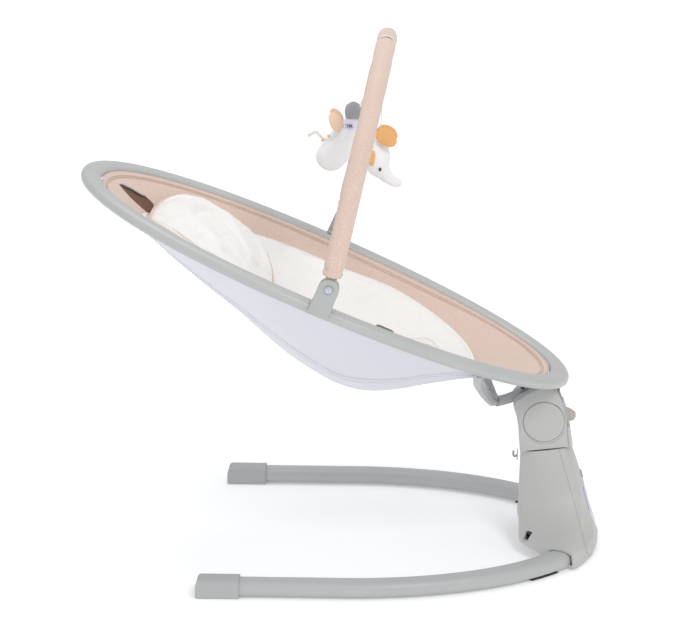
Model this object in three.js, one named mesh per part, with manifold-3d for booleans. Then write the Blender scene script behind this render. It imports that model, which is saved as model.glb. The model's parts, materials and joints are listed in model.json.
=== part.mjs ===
// Electric baby swing: a fabric seat in a ring, carried by a motor tower on a U-shaped tube base.
// Millimetres, +Z up. The origin is on the floor, under the middle of the whole swing.
// +X points to the tower and the baby's feet, +Y to the baby's left.
import * as THREE from "three";
import { mergeVertices } from "three/addons/utils/BufferGeometryUtils.js";
import Module from "manifold-3d";

const wasm = await Module();
wasm.setup();

// ---------------------------------------------------------------- driving dimensions
const GAP = 0.3; // between pieces that touch
const FAR = 400; // longer than anything that a cutting tool has to pass through

const RING = {
  x: -25.7,
  z: 414.9,
  tilt: THREE.MathUtils.degToRad(23.3),
  halfLength: 384.9,
  halfWidth: 238,
  power: 2.1,
  egg: -0.049,
  halfWide: 15.5,
  halfThick: 9.5,
  wall: 1.6,
};
const BASE = {
  legY: 283.5,
  frontX: -202.4,
  bendX: 10.2,
  bendLength: 365.4,
  tubeWide: 38,
  tubeHigh: 23,
  tubeBottom: 2,
  tubeWall: 1.5,
  tubeEndY: 97,
  mouthY: 140,
};
const CAP = { long: 63, wide: 42, high: 27, nose: 11 };
const TOWER = {
  wall: 3,
  bottom: 2.2,
  topGap: 0.6,
  splitX: 330,
  splitSlope: 0.3,
  frontX: 269,
  frontEdge: 20,
  frontSlope: 0.2,
};
const SWING = { x: 306, z: 153, tilt: THREE.MathUtils.degToRad(-6.6) };
const SHAFT_RADIUS = 8;
const BEARING_RADIUS = 14;
const GEAR = { module: 1, sectorTeeth: 44, pinionTeeth: 12, pressure: 20, backlash: 0.3, thick: 5, z: -62 };
const HUB = { x: 305, z: 198, radius: 31 };
const HEAD = { halfWide: 43, wall: 3.5, slot: 17.2, bevel: 4 };
const YOKE = { inner: 13.5, outer: 16.5 };
const AXLE_RADIUS = 6;
const ARM = { half: 12.5, hubHalf: 8, hubRadius: 17.5 };
const SEAT_TUBE_RADIUS = 8;
const BAR = { tilt: THREE.MathUtils.degToRad(13.1), high: 331, half: 251.2, power: 2.3 };
const BAR_ROD_RADIUS = 6.5;
const SLEEVE = { radius: 14.5, bore: 8.3, start: 18.5 };
const BRACKET = { half: 16, ear: 15, plate: 3.5, outer: 255.7, inner: 243, bottom: -5.5, pivot: 38 };
const PIVOT_RADIUS = 3;
const FABRIC = { thick: 2, gap: 0.5, padThick: 18, pillowThick: 46, sag: 2.2 };
const PAD = { u: -14, halfLength: 276, halfWidth: 203, power: 2.4 };
const PILLOW = { u: -177, halfLength: 112, halfWidth: 152, power: 3 };

// ---------------------------------------------------------------- materials
const paint = (color, roughness, metalness = 0) => ({ color, roughness, metalness });
const LOOKS = {
  frame: paint(0xb9bbba, 0.42, 0.15),
  housing: paint(0xc6c5c3, 0.45),
  darkHousing: paint(0xa5a3a3, 0.5),
  rubber: paint(0x3a3a3c, 0.85),
  steel: paint(0xb0b4b8, 0.3, 0.9),
  brass: paint(0xb99a55, 0.35, 0.9),
  nylon: paint(0xe8e6df, 0.5),
  board: paint(0x2f6b45, 0.5),
  panel: paint(0x8f9bc4, 0.12),
  black: paint(0x222224, 0.5),
  underside: paint(0xdcdce8, 0.85),
  beige: paint(0xdcc6b8, 0.9),
  white: paint(0xeeeeee, 0.9),
  buckle: paint(0x6c6d70, 0.5),
  orange: paint(0xe2a763, 0.9),
};

// ---------------------------------------------------------------- solids
/** A closed geometry, or a solid, as a solid that can be joined and cut. */
function solid(shape) {
  if (!shape.isBufferGeometry) return shape;
  const loose = shape.index ? shape.toNonIndexed() : shape;
  const bare = new THREE.BufferGeometry().setAttribute("position", loose.getAttribute("position"));
  const welded = mergeVertices(bare, 1e-4);
  const corners = [];
  for (let i = 0; i < welded.index.count; i += 3) {
    const [a, b, c] = [0, 1, 2].map((k) => welded.index.getX(i + k));
    if (a !== b && b !== c && c !== a) corners.push(a, b, c);
  }
  const make = (triVerts) =>
    new wasm.Manifold(
      new wasm.Mesh({
        numProp: 3,
        vertProperties: welded.attributes.position.array,
        triVerts: new Uint32Array(triVerts),
      }),
    );
  const made = make(corners);
  return made.volume() < 0 ? make(corners.reverse()) : made;
}

const cut = (body, ...tools) => tools.reduce((s, tool) => s.subtract(solid(tool)), solid(body));
const join = (first, ...others) => others.reduce((s, other) => s.add(solid(other)), solid(first));
const common = (first, second) => solid(first).intersect(solid(second));

function geometryOf(body) {
  const mesh = body.getMesh();
  const geometry = new THREE.BufferGeometry();
  geometry.setAttribute("position", new THREE.BufferAttribute(mesh.vertProperties, 3));
  geometry.setIndex(new THREE.BufferAttribute(mesh.triVerts, 1));
  geometry.computeVertexNormals();
  return geometry;
}

/** Adds a named piece to a group. */
function add(group, name, shape, look) {
  const mesh = new THREE.Mesh(geometryOf(solid(shape)), new THREE.MeshStandardMaterial(look));
  mesh.name = name;
  group.add(mesh);
}

// ---------------------------------------------------------------- frames
const swing = new THREE.Group();
const ringPlane = new THREE.Group();
const toyBar = new THREE.Group();
const root = new THREE.Group();
root.add(swing, ringPlane, toyBar);
swing.position.set(SWING.x, 0, SWING.z);
swing.rotation.y = SWING.tilt;
ringPlane.position.set(RING.x, 0, RING.z);
ringPlane.rotation.y = RING.tilt;
ringPlane.updateMatrixWorld(true);
toyBar.position.set(0, 0, BRACKET.pivot).applyMatrix4(ringPlane.matrixWorld);
toyBar.rotation.y = BAR.tilt;
root.updateMatrixWorld(true);
const fromSwing = (geometry) => geometry.applyMatrix4(swing.matrixWorld);
const fromRing = (geometry) => geometry.applyMatrix4(ringPlane.matrixWorld);

// ---------------------------------------------------------------- shape helpers
/** A box given by its low and high corners. */
function box(low, high) {
  const size = low.map((v, i) => high[i] - v);
  return new THREE.BoxGeometry(...size).translate(...low.map((v, i) => v + size[i] / 2));
}

/** A cylinder from one height to another, upright. */
const upright = (radius, low, high, sides = 24) =>
  new THREE.CylinderGeometry(radius, radius, high - low, sides)
    .rotateX(Math.PI / 2)
    .translate(0, 0, (low + high) / 2);

/** A cylinder along Y, through the point x, z of the side view. */
const crosswise = (radius, x, z, from, to, sides = 24) =>
  new THREE.CylinderGeometry(radius, radius, to - from, sides).translate(x, (from + to) / 2, z);

/** A side-view outline in X and Z, made thick along Y. */
function sideways(outline, from, to, bevel = 0) {
  const plate = new THREE.ExtrudeGeometry(outline, {
    depth: to - from - 2 * bevel,
    bevelEnabled: bevel > 0,
    bevelThickness: bevel,
    bevelSize: bevel,
    bevelOffset: -bevel,
    bevelSegments: 2,
    curveSegments: 4,
  });
  return plate.rotateX(Math.PI / 2).translate(0, to - bevel, 0);
}

/** A polygon whose corners are rounded. Each corner is x, y and its radius. */
function rounded(corners) {
  const shape = new THREE.Shape();
  corners.forEach(([x, y, radius], i) => {
    const corner = new THREE.Vector2(x, y);
    const toward = (other) => {
      const way = new THREE.Vector2(other[0] - x, other[1] - y);
      return corner.clone().addScaledVector(way.clone().normalize(), Math.min(radius, way.length() / 2.05));
    };
    const before = toward(corners.at(i - 1));
    const after = toward(corners[(i + 1) % corners.length]);
    if (i) shape.lineTo(before.x, before.y);
    else shape.moveTo(before.x, before.y);
    if (radius) shape.quadraticCurveTo(x, y, after.x, after.y);
  });
  return shape;
}

const circle = (radius) => new THREE.Shape().absarc(0, 0, radius, 0, 2 * Math.PI);
const oval = (halfX, halfY) => new THREE.Shape().absellipse(0, 0, halfX, halfY, 0, 2 * Math.PI);
const withHole = (shape, hole) => {
  shape.holes.push(hole);
  return shape;
};

/** A section swept along a path. sides is half the number of sides of a round section. */
const sweep = (section, path, steps, sides = 6) =>
  new THREE.ExtrudeGeometry(section, { steps, extrudePath: path, bevelEnabled: false, curveSegments: sides });

/** A path through points, each a list of three numbers. */
const smooth = (points) => new THREE.CatmullRomCurve3(points.map((p) => new THREE.Vector3(...p)));

/** A closed skin through rings that have the same number of points, with flat ends. */
function loft(rings) {
  const count = rings[0].length;
  const position = new THREE.Float32BufferAttribute(rings.flat().flatMap((p) => p.toArray()), 3);
  const index = [];
  for (let level = 0; level + 1 < rings.length; level++) {
    for (let i = 0; i < count; i++) {
      const a = level * count + i;
      const b = level * count + ((i + 1) % count);
      index.push(a, b, b + count, a, b + count, a + count);
    }
  }
  const close = (ring, start, turn) => {
    const flat = ring.map((p) => new THREE.Vector2(p.x, p.y));
    for (const [a, b, c] of THREE.ShapeUtils.triangulateShape(flat, [])) {
      index.push(start + a, start + (turn ? c : b), start + (turn ? b : c));
    }
  };
  const skin = new THREE.BufferGeometry().setAttribute("position", position);
  close(rings[0], 0, true);
  close(rings.at(-1), (rings.length - 1) * count, false);
  return skin.setIndex(index);
}

/** A strap: a flat section carried along centre points, each with its own sideways direction. */
function strap(centres, across, width, thick) {
  const rings = centres.map((centre, i) => {
    const ahead = centres[Math.min(i + 1, centres.length - 1)];
    const behind = centres[Math.max(i - 1, 0)];
    const up = new THREE.Vector3().subVectors(ahead, behind).normalize().cross(across);
    const corner = (s, t) =>
      centre.clone().addScaledVector(across, (s * width) / 2).addScaledVector(up, (t * thick) / 2);
    return [corner(-1, -1), corner(1, -1), corner(1, 1), corner(-1, 1)];
  });
  const position = new THREE.Float32BufferAttribute(rings.flat().flatMap((p) => p.toArray()), 3);
  const index = [];
  for (let level = 0; level + 1 < rings.length; level++) {
    for (let i = 0; i < 4; i++) {
      const a = level * 4 + i;
      const b = level * 4 + ((i + 1) % 4);
      index.push(a, b, b + 4, a, b + 4, a + 4);
    }
  }
  const last = (rings.length - 1) * 4;
  index.push(0, 2, 1, 0, 3, 2, last, last + 1, last + 2, last, last + 2, last + 3);
  return new THREE.BufferGeometry().setAttribute("position", position).setIndex(index);
}

/**
 * A skin that starts in the middle of a face, runs out over it, turns and comes back over the
 * other face. Both faces are split into triangles the same way, so layers of one shape nest.
 */
function dish(around, profile, at) {
  const skin = loft(
    profile.map(([reach, face]) =>
      Array.from({ length: around }, (_, i) => at((i / around) * 2 * Math.PI, reach, face)),
    ),
  );
  const index = skin.index.array;
  profile.slice(0, -1).forEach(([reach], level) => {
    if (profile[level + 1][0] > reach) return;
    for (let i = 0; i < around; i++) {
      const start = 6 * (level * around + i);
      const [a, b, d, , , c] = index.slice(start, start + 6);
      index.set([a, b, c, b, d, c], start);
    }
  });
  return skin;
}

/** Values that change smoothly with height or length, from a few stations. */
function stations(rows) {
  const keys = new Float32Array(rows.map((row) => row[0]));
  const values = new Float32Array(rows.flatMap((row) => row.slice(1)));
  const curve = new THREE.CubicInterpolant(keys, values, rows[0].length - 1);
  return (key) => [...curve.evaluate(THREE.MathUtils.clamp(key, keys[0], keys.at(-1)))];
}

// ---------------------------------------------------------------- base
/** One leg's centreline: straight from the front, then a quarter ellipse round to the tower. */
class LegPath extends THREE.Curve {
  constructor(side, start, end, height) {
    super();
    Object.assign(this, { side, start, end, height });
  }
  getPoint(t) {
    const straight = BASE.bendX - this.start;
    const lastAngle = Math.acos(this.end / BASE.legY);
    const bend = lastAngle * ((BASE.bendLength + BASE.legY) / 2);
    const along = t * (straight + bend);
    const angle = Math.max(0, ((along - straight) / bend) * lastAngle);
    const x = along < straight ? this.start + along : BASE.bendX + BASE.bendLength * Math.sin(angle);
    return new THREE.Vector3(x, this.side * BASE.legY * Math.cos(angle), this.height);
  }
}

/** A flat-sided oval; the sweep's first axis is upright and its second lies across the path. */
const flatOval = (high, wide) => {
  const [h, w] = [high / 2, wide / 2];
  const r = Math.min(h, w) * 0.9;
  return rounded([[-h, -w, r], [h, -w, r], [h, w, r], [-h, w, r]]);
};

const tubeMiddle = BASE.tubeBottom + BASE.tubeHigh / 2;
const legTube = (side, grow) =>
  sweep(
    flatOval(BASE.tubeHigh + 2 * grow, BASE.tubeWide + 2 * grow),
    new LegPath(side, BASE.frontX + 4, BASE.tubeEndY, tubeMiddle),
    16,
    2,
  );

function baseTube(side) {
  const inside = flatOval(BASE.tubeHigh - 2 * BASE.tubeWall, BASE.tubeWide - 2 * BASE.tubeWall);
  const section = withHole(flatOval(BASE.tubeHigh, BASE.tubeWide), inside);
  return sweep(section, new LegPath(side, BASE.frontX + 4, BASE.tubeEndY, tubeMiddle), 16, 2);
}

function legCap(side) {
  const end = BASE.frontX + CAP.long;
  const y = side * BASE.legY;
  const profile = rounded([
    [BASE.frontX, 0, 1],
    [end, 0, 0],
    [end, CAP.high, 0],
    [BASE.frontX, CAP.high, CAP.nose],
  ]);
  const section = rounded([
    [-CAP.wide / 2, 0, 4],
    [CAP.wide / 2, 0, 4],
    [CAP.wide / 2, CAP.high, 9],
    [-CAP.wide / 2, CAP.high, 9],
  ]);
  const length = { depth: CAP.long + 10, bevelEnabled: false, curveSegments: 5 };
  const along = new THREE.ExtrudeGeometry(section, length);
  along.applyMatrix4(
    new THREE.Matrix4().makeBasis(
      new THREE.Vector3(0, 1, 0),
      new THREE.Vector3(0, 0, 1),
      new THREE.Vector3(1, 0, 0),
    ),
  );
  along.translate(BASE.frontX - 5, y, 0);
  const body = common(sideways(profile, y - CAP.wide, y + CAP.wide), along);
  const room = legTube(side, GAP);
  return cut(body, room, room.clone().translate(-GAP, 0, 0));
}

function rearFoot(side) {
  const path = new THREE.CatmullRomCurve3([0, 0.25, 0.5, 0.75, 1].map((t) => footPoint(side, t)));
  return sweep(rounded([[-0.85, -14, 0], [0.85, -14, 0], [0.85, 14, 0], [-0.85, 14, 0]]), path, 6);
}

/** A point under the bend of a leg, where its rubber foot is. */
function footPoint(side, t) {
  const angle = THREE.MathUtils.lerp(0.82, 0.99, t);
  return new THREE.Vector3(
    BASE.bendX + BASE.bendLength * Math.sin(angle),
    side * BASE.legY * Math.cos(angle),
    (BASE.tubeBottom - GAP) / 2,
  );
}

// ---------------------------------------------------------------- tower
/**
 * The tower's plan at each height, in X and Y of the +Y half: front face X and half width,
 * inner and outer corner of the wing that runs out over the leg, rear corner, rear face X.
 */
const towerPlan = stations([
  [2, 274, 80, 318, 137.5, 340, 163.5, 377, 92, 390],
  [14, 271, 82, 318, 138, 340.5, 164, 379, 92, 392],
  [24, 270.5, 80, 319, 137.5, 340, 163.5, 377, 92, 389.5],
  [29, 270.5, 73, 319, 129, 345, 150, 374.5, 84, 388],
  [36, 270.5, 62, 317, 112, 352, 112, 371, 68, 386],
  [48, 271, 48, 318, 80, 357, 82, 371, 47, 382],
  [62, 271, 38, 314, 61, 358.5, 61, 369, 36, 377.5],
  [80, 271, 32, 309, 48, 359, 48, 366.5, 29, 372.5],
  [104, 271.3, 28, 302, 42, 355, 42, 361.5, 25, 365.5],
  [142, 272, 25, 290, 40, 343, 38, 349.5, 22, 352.5],
  [170, 272.5, 23, 283, 39, 332, 35, 339, 20, 342.5],
]);

/** The tower's outline at a height, as seen from above, moved inwards by inset. */
function towerOutline(z, inset, height) {
  const [frontX, frontY, x2, y2, x3, y3, x4, y4, rearX] = towerPlan(z);
  const half = [[x4, y4], [x3, y3], [x2, y2], [frontX + 0.6, frontY], [frontX, frontY / 2]];
  const mirrored = half.map(([x, y]) => [x, -y]).reverse();
  const corners = [[rearX, 0], ...half, ...mirrored].map(([x, y]) => new THREE.Vector3(x, y, 0));
  const curve = new THREE.CatmullRomCurve3(corners, true, "centripetal");
  const count = 26;
  const points = Array.from({ length: count }, (_, i) => curve.getPoint(i / count));
  return points.map((p, i) => {
    const along = new THREE.Vector3().subVectors(points[(i + 1) % count], points.at(i - 1)).normalize();
    return new THREE.Vector3(p.x - along.y * inset, p.y + along.x * inset, height);
  });
}

const towerLevels = [14, 25, 31, 37, 46, 58, 75, 98, 130, 170];

/** The tower's outer body, or the room inside it when inset is the wall thickness. */
function towerBody(inset) {
  const bottom = inset ? -6 : TOWER.bottom;
  const heights = towerLevels.map((z) => z - inset);
  const rings = [bottom, ...heights].map((z) => towerOutline(z + inset, inset, z));
  return cut(loft(rings), aboveSwingPlane(-TOWER.topGap - inset), underFront(inset));
}

/** What is cut away under the tower's front, where its floor slopes up to the front edge. */
const underFront = (inset) =>
  box([-150, -FAR, -60], [150, FAR, 0])
    .rotateY(TOWER.frontSlope)
    .translate(TOWER.frontX, 0, TOWER.frontEdge + inset);

/** Everything above a plane square to the swing axis. */
const aboveSwingPlane = (height) => fromSwing(box([-FAR, -FAR, height], [FAR, FAR, FAR]));

/** What lies beyond the mouth where a leg enters the tower's wing. */
function beyondMouth(side) {
  const angle = Math.acos(BASE.mouthY / BASE.legY);
  const x = BASE.bendX + BASE.bendLength * Math.sin(angle);
  const along = Math.atan2(BASE.legY * Math.sin(angle), -BASE.bendLength * Math.cos(angle));
  return box([0, -60, -20], [90, 60, 70])
    .rotateZ(side * along)
    .translate(x, side * BASE.mouthY, 0);
}

/** Everything behind the seam between the tower's two shells. */
function behindSeam(shift) {
  const lean = Math.atan(TOWER.splitSlope);
  return box([0, -FAR, -FAR], [FAR, FAR, FAR])
    .rotateY(-lean)
    .translate(TOWER.splitX + shift, 0, 150);
}

// The rear face's own frame: +X out of the face, +Z up along it.
const REAR_LEAN = -0.27;
const onRear = (geometry, z) => geometry.rotateY(REAR_LEAN).translate(towerPlan(z).at(-1), 0, z);

const PANEL = { z: 56, halfWide: 21, halfHigh: 34, thick: 2.4 };
const POWER = { z: 105, radius: 6.5, travel: 1.2, depth: 5 };
const panelPrism = (grow) => {
  const [w, h] = [PANEL.halfWide + grow, PANEL.halfHigh + grow];
  const outline = rounded([[-w, -h, 8], [w, -h, 8], [w, h, 8], [-w, h, 8]]);
  const prism = new THREE.ExtrudeGeometry(outline, { depth: 60, bevelEnabled: false, curveSegments: 4 });
  prism.rotateX(Math.PI / 2).rotateZ(Math.PI / 2).translate(-30, 0, 0);
  return onRear(prism, PANEL.z);
};
const alongRear = (radius, low, high, z) =>
  onRear(
    new THREE.CylinderGeometry(radius, radius, high - low, 24)
      .rotateZ(Math.PI / 2)
      .translate((low + high) / 2, 0, 0),
    z,
  );

const JACK = { x: 283.5, y: -84, z: 31, turn: -2.36 };
const atJack = (geometry) => geometry.rotateZ(JACK.turn).translate(JACK.x, JACK.y, JACK.z);

const tubeRoom = (side) => [0, 1.5].map((on) => legTube(side, 0.5).translate(0.4 * on, -0.9 * side * on, 0));
const towerWall = cut(
  towerBody(0),
  towerBody(TOWER.wall),
  ...tubeRoom(1),
  ...tubeRoom(-1),
  beyondMouth(1),
  beyondMouth(-1),
  fromSwing(upright(17, -30, 30)),
);
const towerFront = cut(towerWall, behindSeam(-GAP / 2), atJack(box([-30, -5.3, -5.8], [30, 5.3, 5.8])));
const towerRear = cut(
  common(towerWall, behindSeam(GAP / 2)),
  panelPrism(GAP),
  alongRear(POWER.radius + 0.5, -20, 20, POWER.z),
);

/** The touch panel keeps the tower's own curve: a thin slice of the outer body. */
function controlPanel() {
  const slice = cut(towerBody(0), solid(towerBody(0)).translate([-PANEL.thick, 0, 0]));
  return common(slice, panelPrism(0));
}

function basePlate() {
  const floor = common(towerBody(TOWER.wall + GAP), box([357, -84, 3.4], [385, 84, 6]));
  const slots = [-12, 0, 12].map((y) => box([362, y - 2, 0], [376, y + 2, 10]));
  return cut(floor, ...slots);
}

function powerJack() {
  const body = box([-1, -4.9, -5.4], [12, 4.9, 5.4]);
  const socket = new THREE.CylinderGeometry(3.3, 3.3, 20, 16).rotateZ(Math.PI / 2);
  return atJack(geometryOf(cut(body, socket)).scale(-1, 1, 1));
}

function netHook() {
  const bend = smooth([[266.6, 0, 134], [263, 0, 130.5], [260.4, 0, 133], [260.6, 0, 140]]);
  return join(sweep(circle(1.8), bend, 8, 4), box([265.8, -5, 126], [267.2, 5, 142]));
}

// ---------------------------------------------------------------- swing drive
const bearing = (low, high) =>
  new THREE.LatheGeometry(
    [[SHAFT_RADIUS + 0.4, low], [BEARING_RADIUS, low], [BEARING_RADIUS, high], [SHAFT_RADIUS + 0.4, high],
      [SHAFT_RADIUS + 0.4, low]].map(([r, z]) => new THREE.Vector2(r, z)),
    28,
  ).rotateX(Math.PI / 2);

const UPPER_BEARING = [-15, -6];
const LOWER_BEARING = [-97, -89];
const PINION_X = (GEAR.module * (GEAR.sectorTeeth + GEAR.pinionTeeth)) / 2;
const SHELF = [-68, -64.5];

function chassis() {
  const bore = BEARING_RADIUS + GAP;
  const body = join(
    box([-28, -24, -16], [25, 24, -5.5]),
    box([-28, -24, -98], [15.8, 24, -88]),
    box([-28, -22, -98], [-22, 22, -6]),
    box([-24, -15, SHELF[0]], [PINION_X + 12, 15, SHELF[1]]),
  );
  const bored = cut(
    body,
    upright(bore, -17, 0),
    upright(bore, -100, -86),
    upright(SHAFT_RADIUS + 2, -70, -60),
    upright(4, -70, -60).translate(PINION_X, 0, 0),
  );
  const tower = bored.transform(swing.matrixWorld.toArray());
  const leg = (side) => box([331, side > 0 ? 18 : -23, 11.5], [350, side > 0 ? 23 : -18, 64]);
  return join(tower, leg(1), leg(-1)).subtract(solid(fromSwing(upright(bore, -130, -86))));
}

/** The outline of involute teeth, from one tooth number to another, round to the start angle. */
function toothPoints(teeth, first, last, offset, addendum) {
  const pitch = (GEAR.module * teeth) / 2;
  const pressure = THREE.MathUtils.degToRad(GEAR.pressure);
  const base = pitch * Math.cos(pressure);
  const tip = pitch + addendum * GEAR.module;
  const bottom = pitch - 1.2 * GEAR.module;
  const spread = (angle) => Math.tan(angle) - angle;
  const halfAtPitch = Math.PI / (2 * teeth) - GEAR.backlash / (2 * pitch);
  const half = (radius) => halfAtPitch + spread(pressure) - spread(Math.acos(Math.min(1, base / radius)));
  const radii = [bottom, Math.max(base, bottom + 0.05), pitch, tip];
  const points = [];
  const put = (radius, angle) =>
    points.push(new THREE.Vector2(radius * Math.cos(angle), radius * Math.sin(angle)));
  for (let tooth = first; tooth <= last; tooth++) {
    const middle = ((tooth + offset) * 2 * Math.PI) / teeth;
    radii.forEach((radius) => put(radius, middle - half(radius)));
    [...radii].reverse().forEach((radius) => put(radius, middle + half(radius)));
  }
  return points;
}

const flatGear = (shape, low) =>
  new THREE.ExtrudeGeometry(shape, { depth: GEAR.thick, bevelEnabled: false, curveSegments: 12 })
    .translate(0, 0, low);

function gearSector() {
  const teeth = toothPoints(GEAR.sectorTeeth, -5, 4, 0.5, 0.7);
  const wedge = flatGear(new THREE.Shape([new THREE.Vector2(0, 0), ...teeth]), GEAR.z);
  const hub = upright(13, GEAR.z, GEAR.z + 12);
  return cut(join(wedge, hub), upright(SHAFT_RADIUS + GAP + 0.05, -100, 0));
}

function motorPinion() {
  const teeth = toothPoints(GEAR.pinionTeeth, 0, GEAR.pinionTeeth - 1, GEAR.pinionTeeth / 2, 0.9);
  const wheel = flatGear(new THREE.Shape(teeth), GEAR.z);
  return join(wheel, upright(2.5, SHELF[0], GEAR.z + 1)).translate([PINION_X, 0, 0]);
}

function swingShaft() {
  const profile = [
    [0, -100],
    [SHAFT_RADIUS, -100],
    [SHAFT_RADIUS, 1],
    [14, 1],
    [14, 4.6],
    [SHAFT_RADIUS, 4.6],
    [SHAFT_RADIUS, 13],
    [0, 13],
  ];
  return new THREE.LatheGeometry(profile.map(([r, z]) => new THREE.Vector2(r, z)), 28).rotateX(Math.PI / 2);
}

// ---------------------------------------------------------------- swing head
const headOutline = (inset, back = 0) =>
  rounded([
    [269.4 + inset, 149.8 + inset * 1.15, 0],
    [266 + inset, 199, 20],
    [256.5 + inset * 1.6, 226.5, 9],
    [295, 251 - inset * 1.2, 12],
    [321 - inset * 0.6, 251 - inset, 9],
    [338 - inset + back / 2, 211, 22],
    [343.2 - inset + back, 158.3 + inset + back / 9, 0],
  ]);

const headCasing = cut(
  sideways(headOutline(0), -HEAD.halfWide, HEAD.halfWide, HEAD.bevel),
  sideways(headOutline(HEAD.wall), -HEAD.halfWide + HEAD.wall, HEAD.halfWide - HEAD.wall),
  fromSwing(upright(15, -5, 20)),
);

/** Recess for a hub cap, and the shallow step beside it. */
function hubRecess(side) {
  const span = (depth) => [side * (HEAD.halfWide - depth), side * (HEAD.halfWide + 5)].sort((a, b) => a - b);
  return [
    crosswise(HUB.radius + 0.7, HUB.x, HUB.z, ...span(2), 24),
    crosswise(HUB.radius + 2, HUB.x + 1.4, HUB.z - 1.8, ...span(0.8), 24),
  ];
}

function cheek(side) {
  const keep = side > 0 ? [HEAD.slot, FAR] : [-FAR, -HEAD.slot];
  const half = common(headCasing, box([0, keep[0], 0], [FAR, keep[1], FAR]));
  return cut(half, ...hubRecess(side));
}

function hubCap(side) {
  const [low, high] =
    side > 0 ? [HEAD.halfWide - 1.7, HEAD.halfWide + 1] : [-HEAD.halfWide - 1, -HEAD.halfWide + 1.7];
  const disc = new THREE.Shape().absarc(HUB.x, HUB.z, HUB.radius, 0, 2 * Math.PI);
  const plate = new THREE.ExtrudeGeometry(disc, {
    depth: high - low - 1.6,
    bevelEnabled: true,
    bevelThickness: 0.8,
    bevelSize: 0.8,
    bevelOffset: -0.8,
    bevelSegments: 1,
    curveSegments: 16,
  });
  return plate.rotateX(Math.PI / 2).translate(0, high - 0.8, 0);
}

const BUTTON = { half: 10, low: 189.5, high: 211.5, flangeX: 330.8 };
/** Closes the head's rear between the cheeks, and laps over their rear edges. */
function headRearCover() {
  const thick = 6.5;
  const outer = sideways(headOutline(0, thick), -HEAD.halfWide + 4, HEAD.halfWide - 4, 3);
  const inner = HEAD.slot - GAP;
  const middle = cut(
    common(outer, box([318, -inner, 140], [FAR, inner, 222])),
    sideways(headOutline(HEAD.wall), -FAR, FAR),
  );
  const lap = cut(
    common(outer, box([325, -FAR, 140], [FAR, FAR, 188])),
    sideways(headOutline(-GAP), -FAR, FAR),
  );
  return cut(
    join(middle, lap),
    box([300, -BUTTON.half - 0.6, BUTTON.low - 0.6], [FAR, BUTTON.half + 0.6, BUTTON.high + 0.6]),
    fromSwing(upright(15, -5, 20)),
    fromSwing(box([-FAR, -FAR, -40], [FAR, FAR, 0.9])),
  );
}

function yoke() {
  const floor = fromSwing(box([-29, -38.5, 5.4], [29, 38.5, 9]));
  const plateOutline = rounded([
    [282, 158, 2], [283, 205, 14], [305, 226, 22], [327, 205, 14], [329, 162, 2],
  ]);
  const plate = (side) =>
    side > 0
      ? sideways(plateOutline, YOKE.inner, YOKE.outer)
      : sideways(plateOutline, -YOKE.outer, -YOKE.inner);
  const springSeat = box([320.8, -YOKE.inner - 0.1, 194], [323.2, -8.6, 202]);
  return cut(
    join(floor, plate(1), plate(-1), springSeat),
    crosswise(AXLE_RADIUS + GAP, HUB.x, HUB.z, -30, 30),
    fromSwing(upright(SHAFT_RADIUS + GAP + 0.05, 0, 14)),
  );
}

// ---------------------------------------------------------------- recline lock
function lockWheel() {
  const teeth = 20;
  const rim = Array.from({ length: 2 * teeth }, (_, i) => {
    const angle = (i / (2 * teeth)) * 2 * Math.PI;
    const radius = i % 2 ? ARM.hubRadius - 2 : ARM.hubRadius + 0.5;
    return new THREE.Vector2(HUB.x + radius * Math.cos(angle), HUB.z + radius * Math.sin(angle));
  });
  const bore = crosswise(AXLE_RADIUS + 0.4, HUB.x, HUB.z, 0, 30);
  return cut(sideways(new THREE.Shape(rim), ARM.hubHalf + GAP, ARM.half), bore);
}

/** A hooked plate that runs under the lock wheel, so that a push takes its nose off the teeth. */
function lockSlider() {
  const outline = new THREE.Shape();
  [[333.6, 192], [333.6, 203], [331, 203], [331, 178], [284, 178], [284, 194], [286.1, 198], [284, 202],
    [279.5, 202], [279.5, 173.5], [333.6, 173.5]]
    .forEach(([x, z], i) => (i ? outline.lineTo(x, z) : outline.moveTo(x, z)));
  return sideways(outline, ARM.hubHalf + 1.1, ARM.half - 0.2);
}

function reclineButton() {
  const nose = rounded([[334, 190.5, 0], [334, 210.5, 0], [346, 206.5, 4], [355.5, 200, 3], [351, 191, 4]]);
  const flange = box([BUTTON.flangeX, -12.4, 192], [334.3, 7.5, 203.5]);
  return join(sideways(nose, -BUTTON.half, BUTTON.half, 1), flange);
}

/** A coil spring along X from one end to the other. */
function coil(from, to, y, z, radius, wire, turns) {
  const path = new THREE.Curve();
  path.getPoint = (t) => {
    const angle = t * turns * 2 * Math.PI;
    return new THREE.Vector3(
      from + wire + t * (to - from - 2 * wire),
      y + radius * Math.cos(angle),
      z + radius * Math.sin(angle),
    );
  };
  return sweep(circle(wire), path, turns * 8, 2);
}

// ---------------------------------------------------------------- seat support
const seatTubePath = smooth([
  [231, 0, 217.5],
  [240, 0, 219.5],
  [250, 0, 222.5],
  [260, 0, 226.5],
  [271, 0, 231.7],
  [292, 0, 241.5],
]);
const bracePoints = [
  [254.7, 175, -7],
  [260.5, 142, -24.5],
  [270.1, 100, -41.4],
  [291.7, 50, -63.7],
  [306.7, 20, -75.8],
];
const bracePath = smooth([
  ...bracePoints,
  [313.2, 0, -78.4],
  ...bracePoints.map(([u, v, w]) => [u, -v, w]).reverse(),
]);
const brace = (radius) => fromRing(sweep(circle(radius), bracePath, 20, 4));

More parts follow.
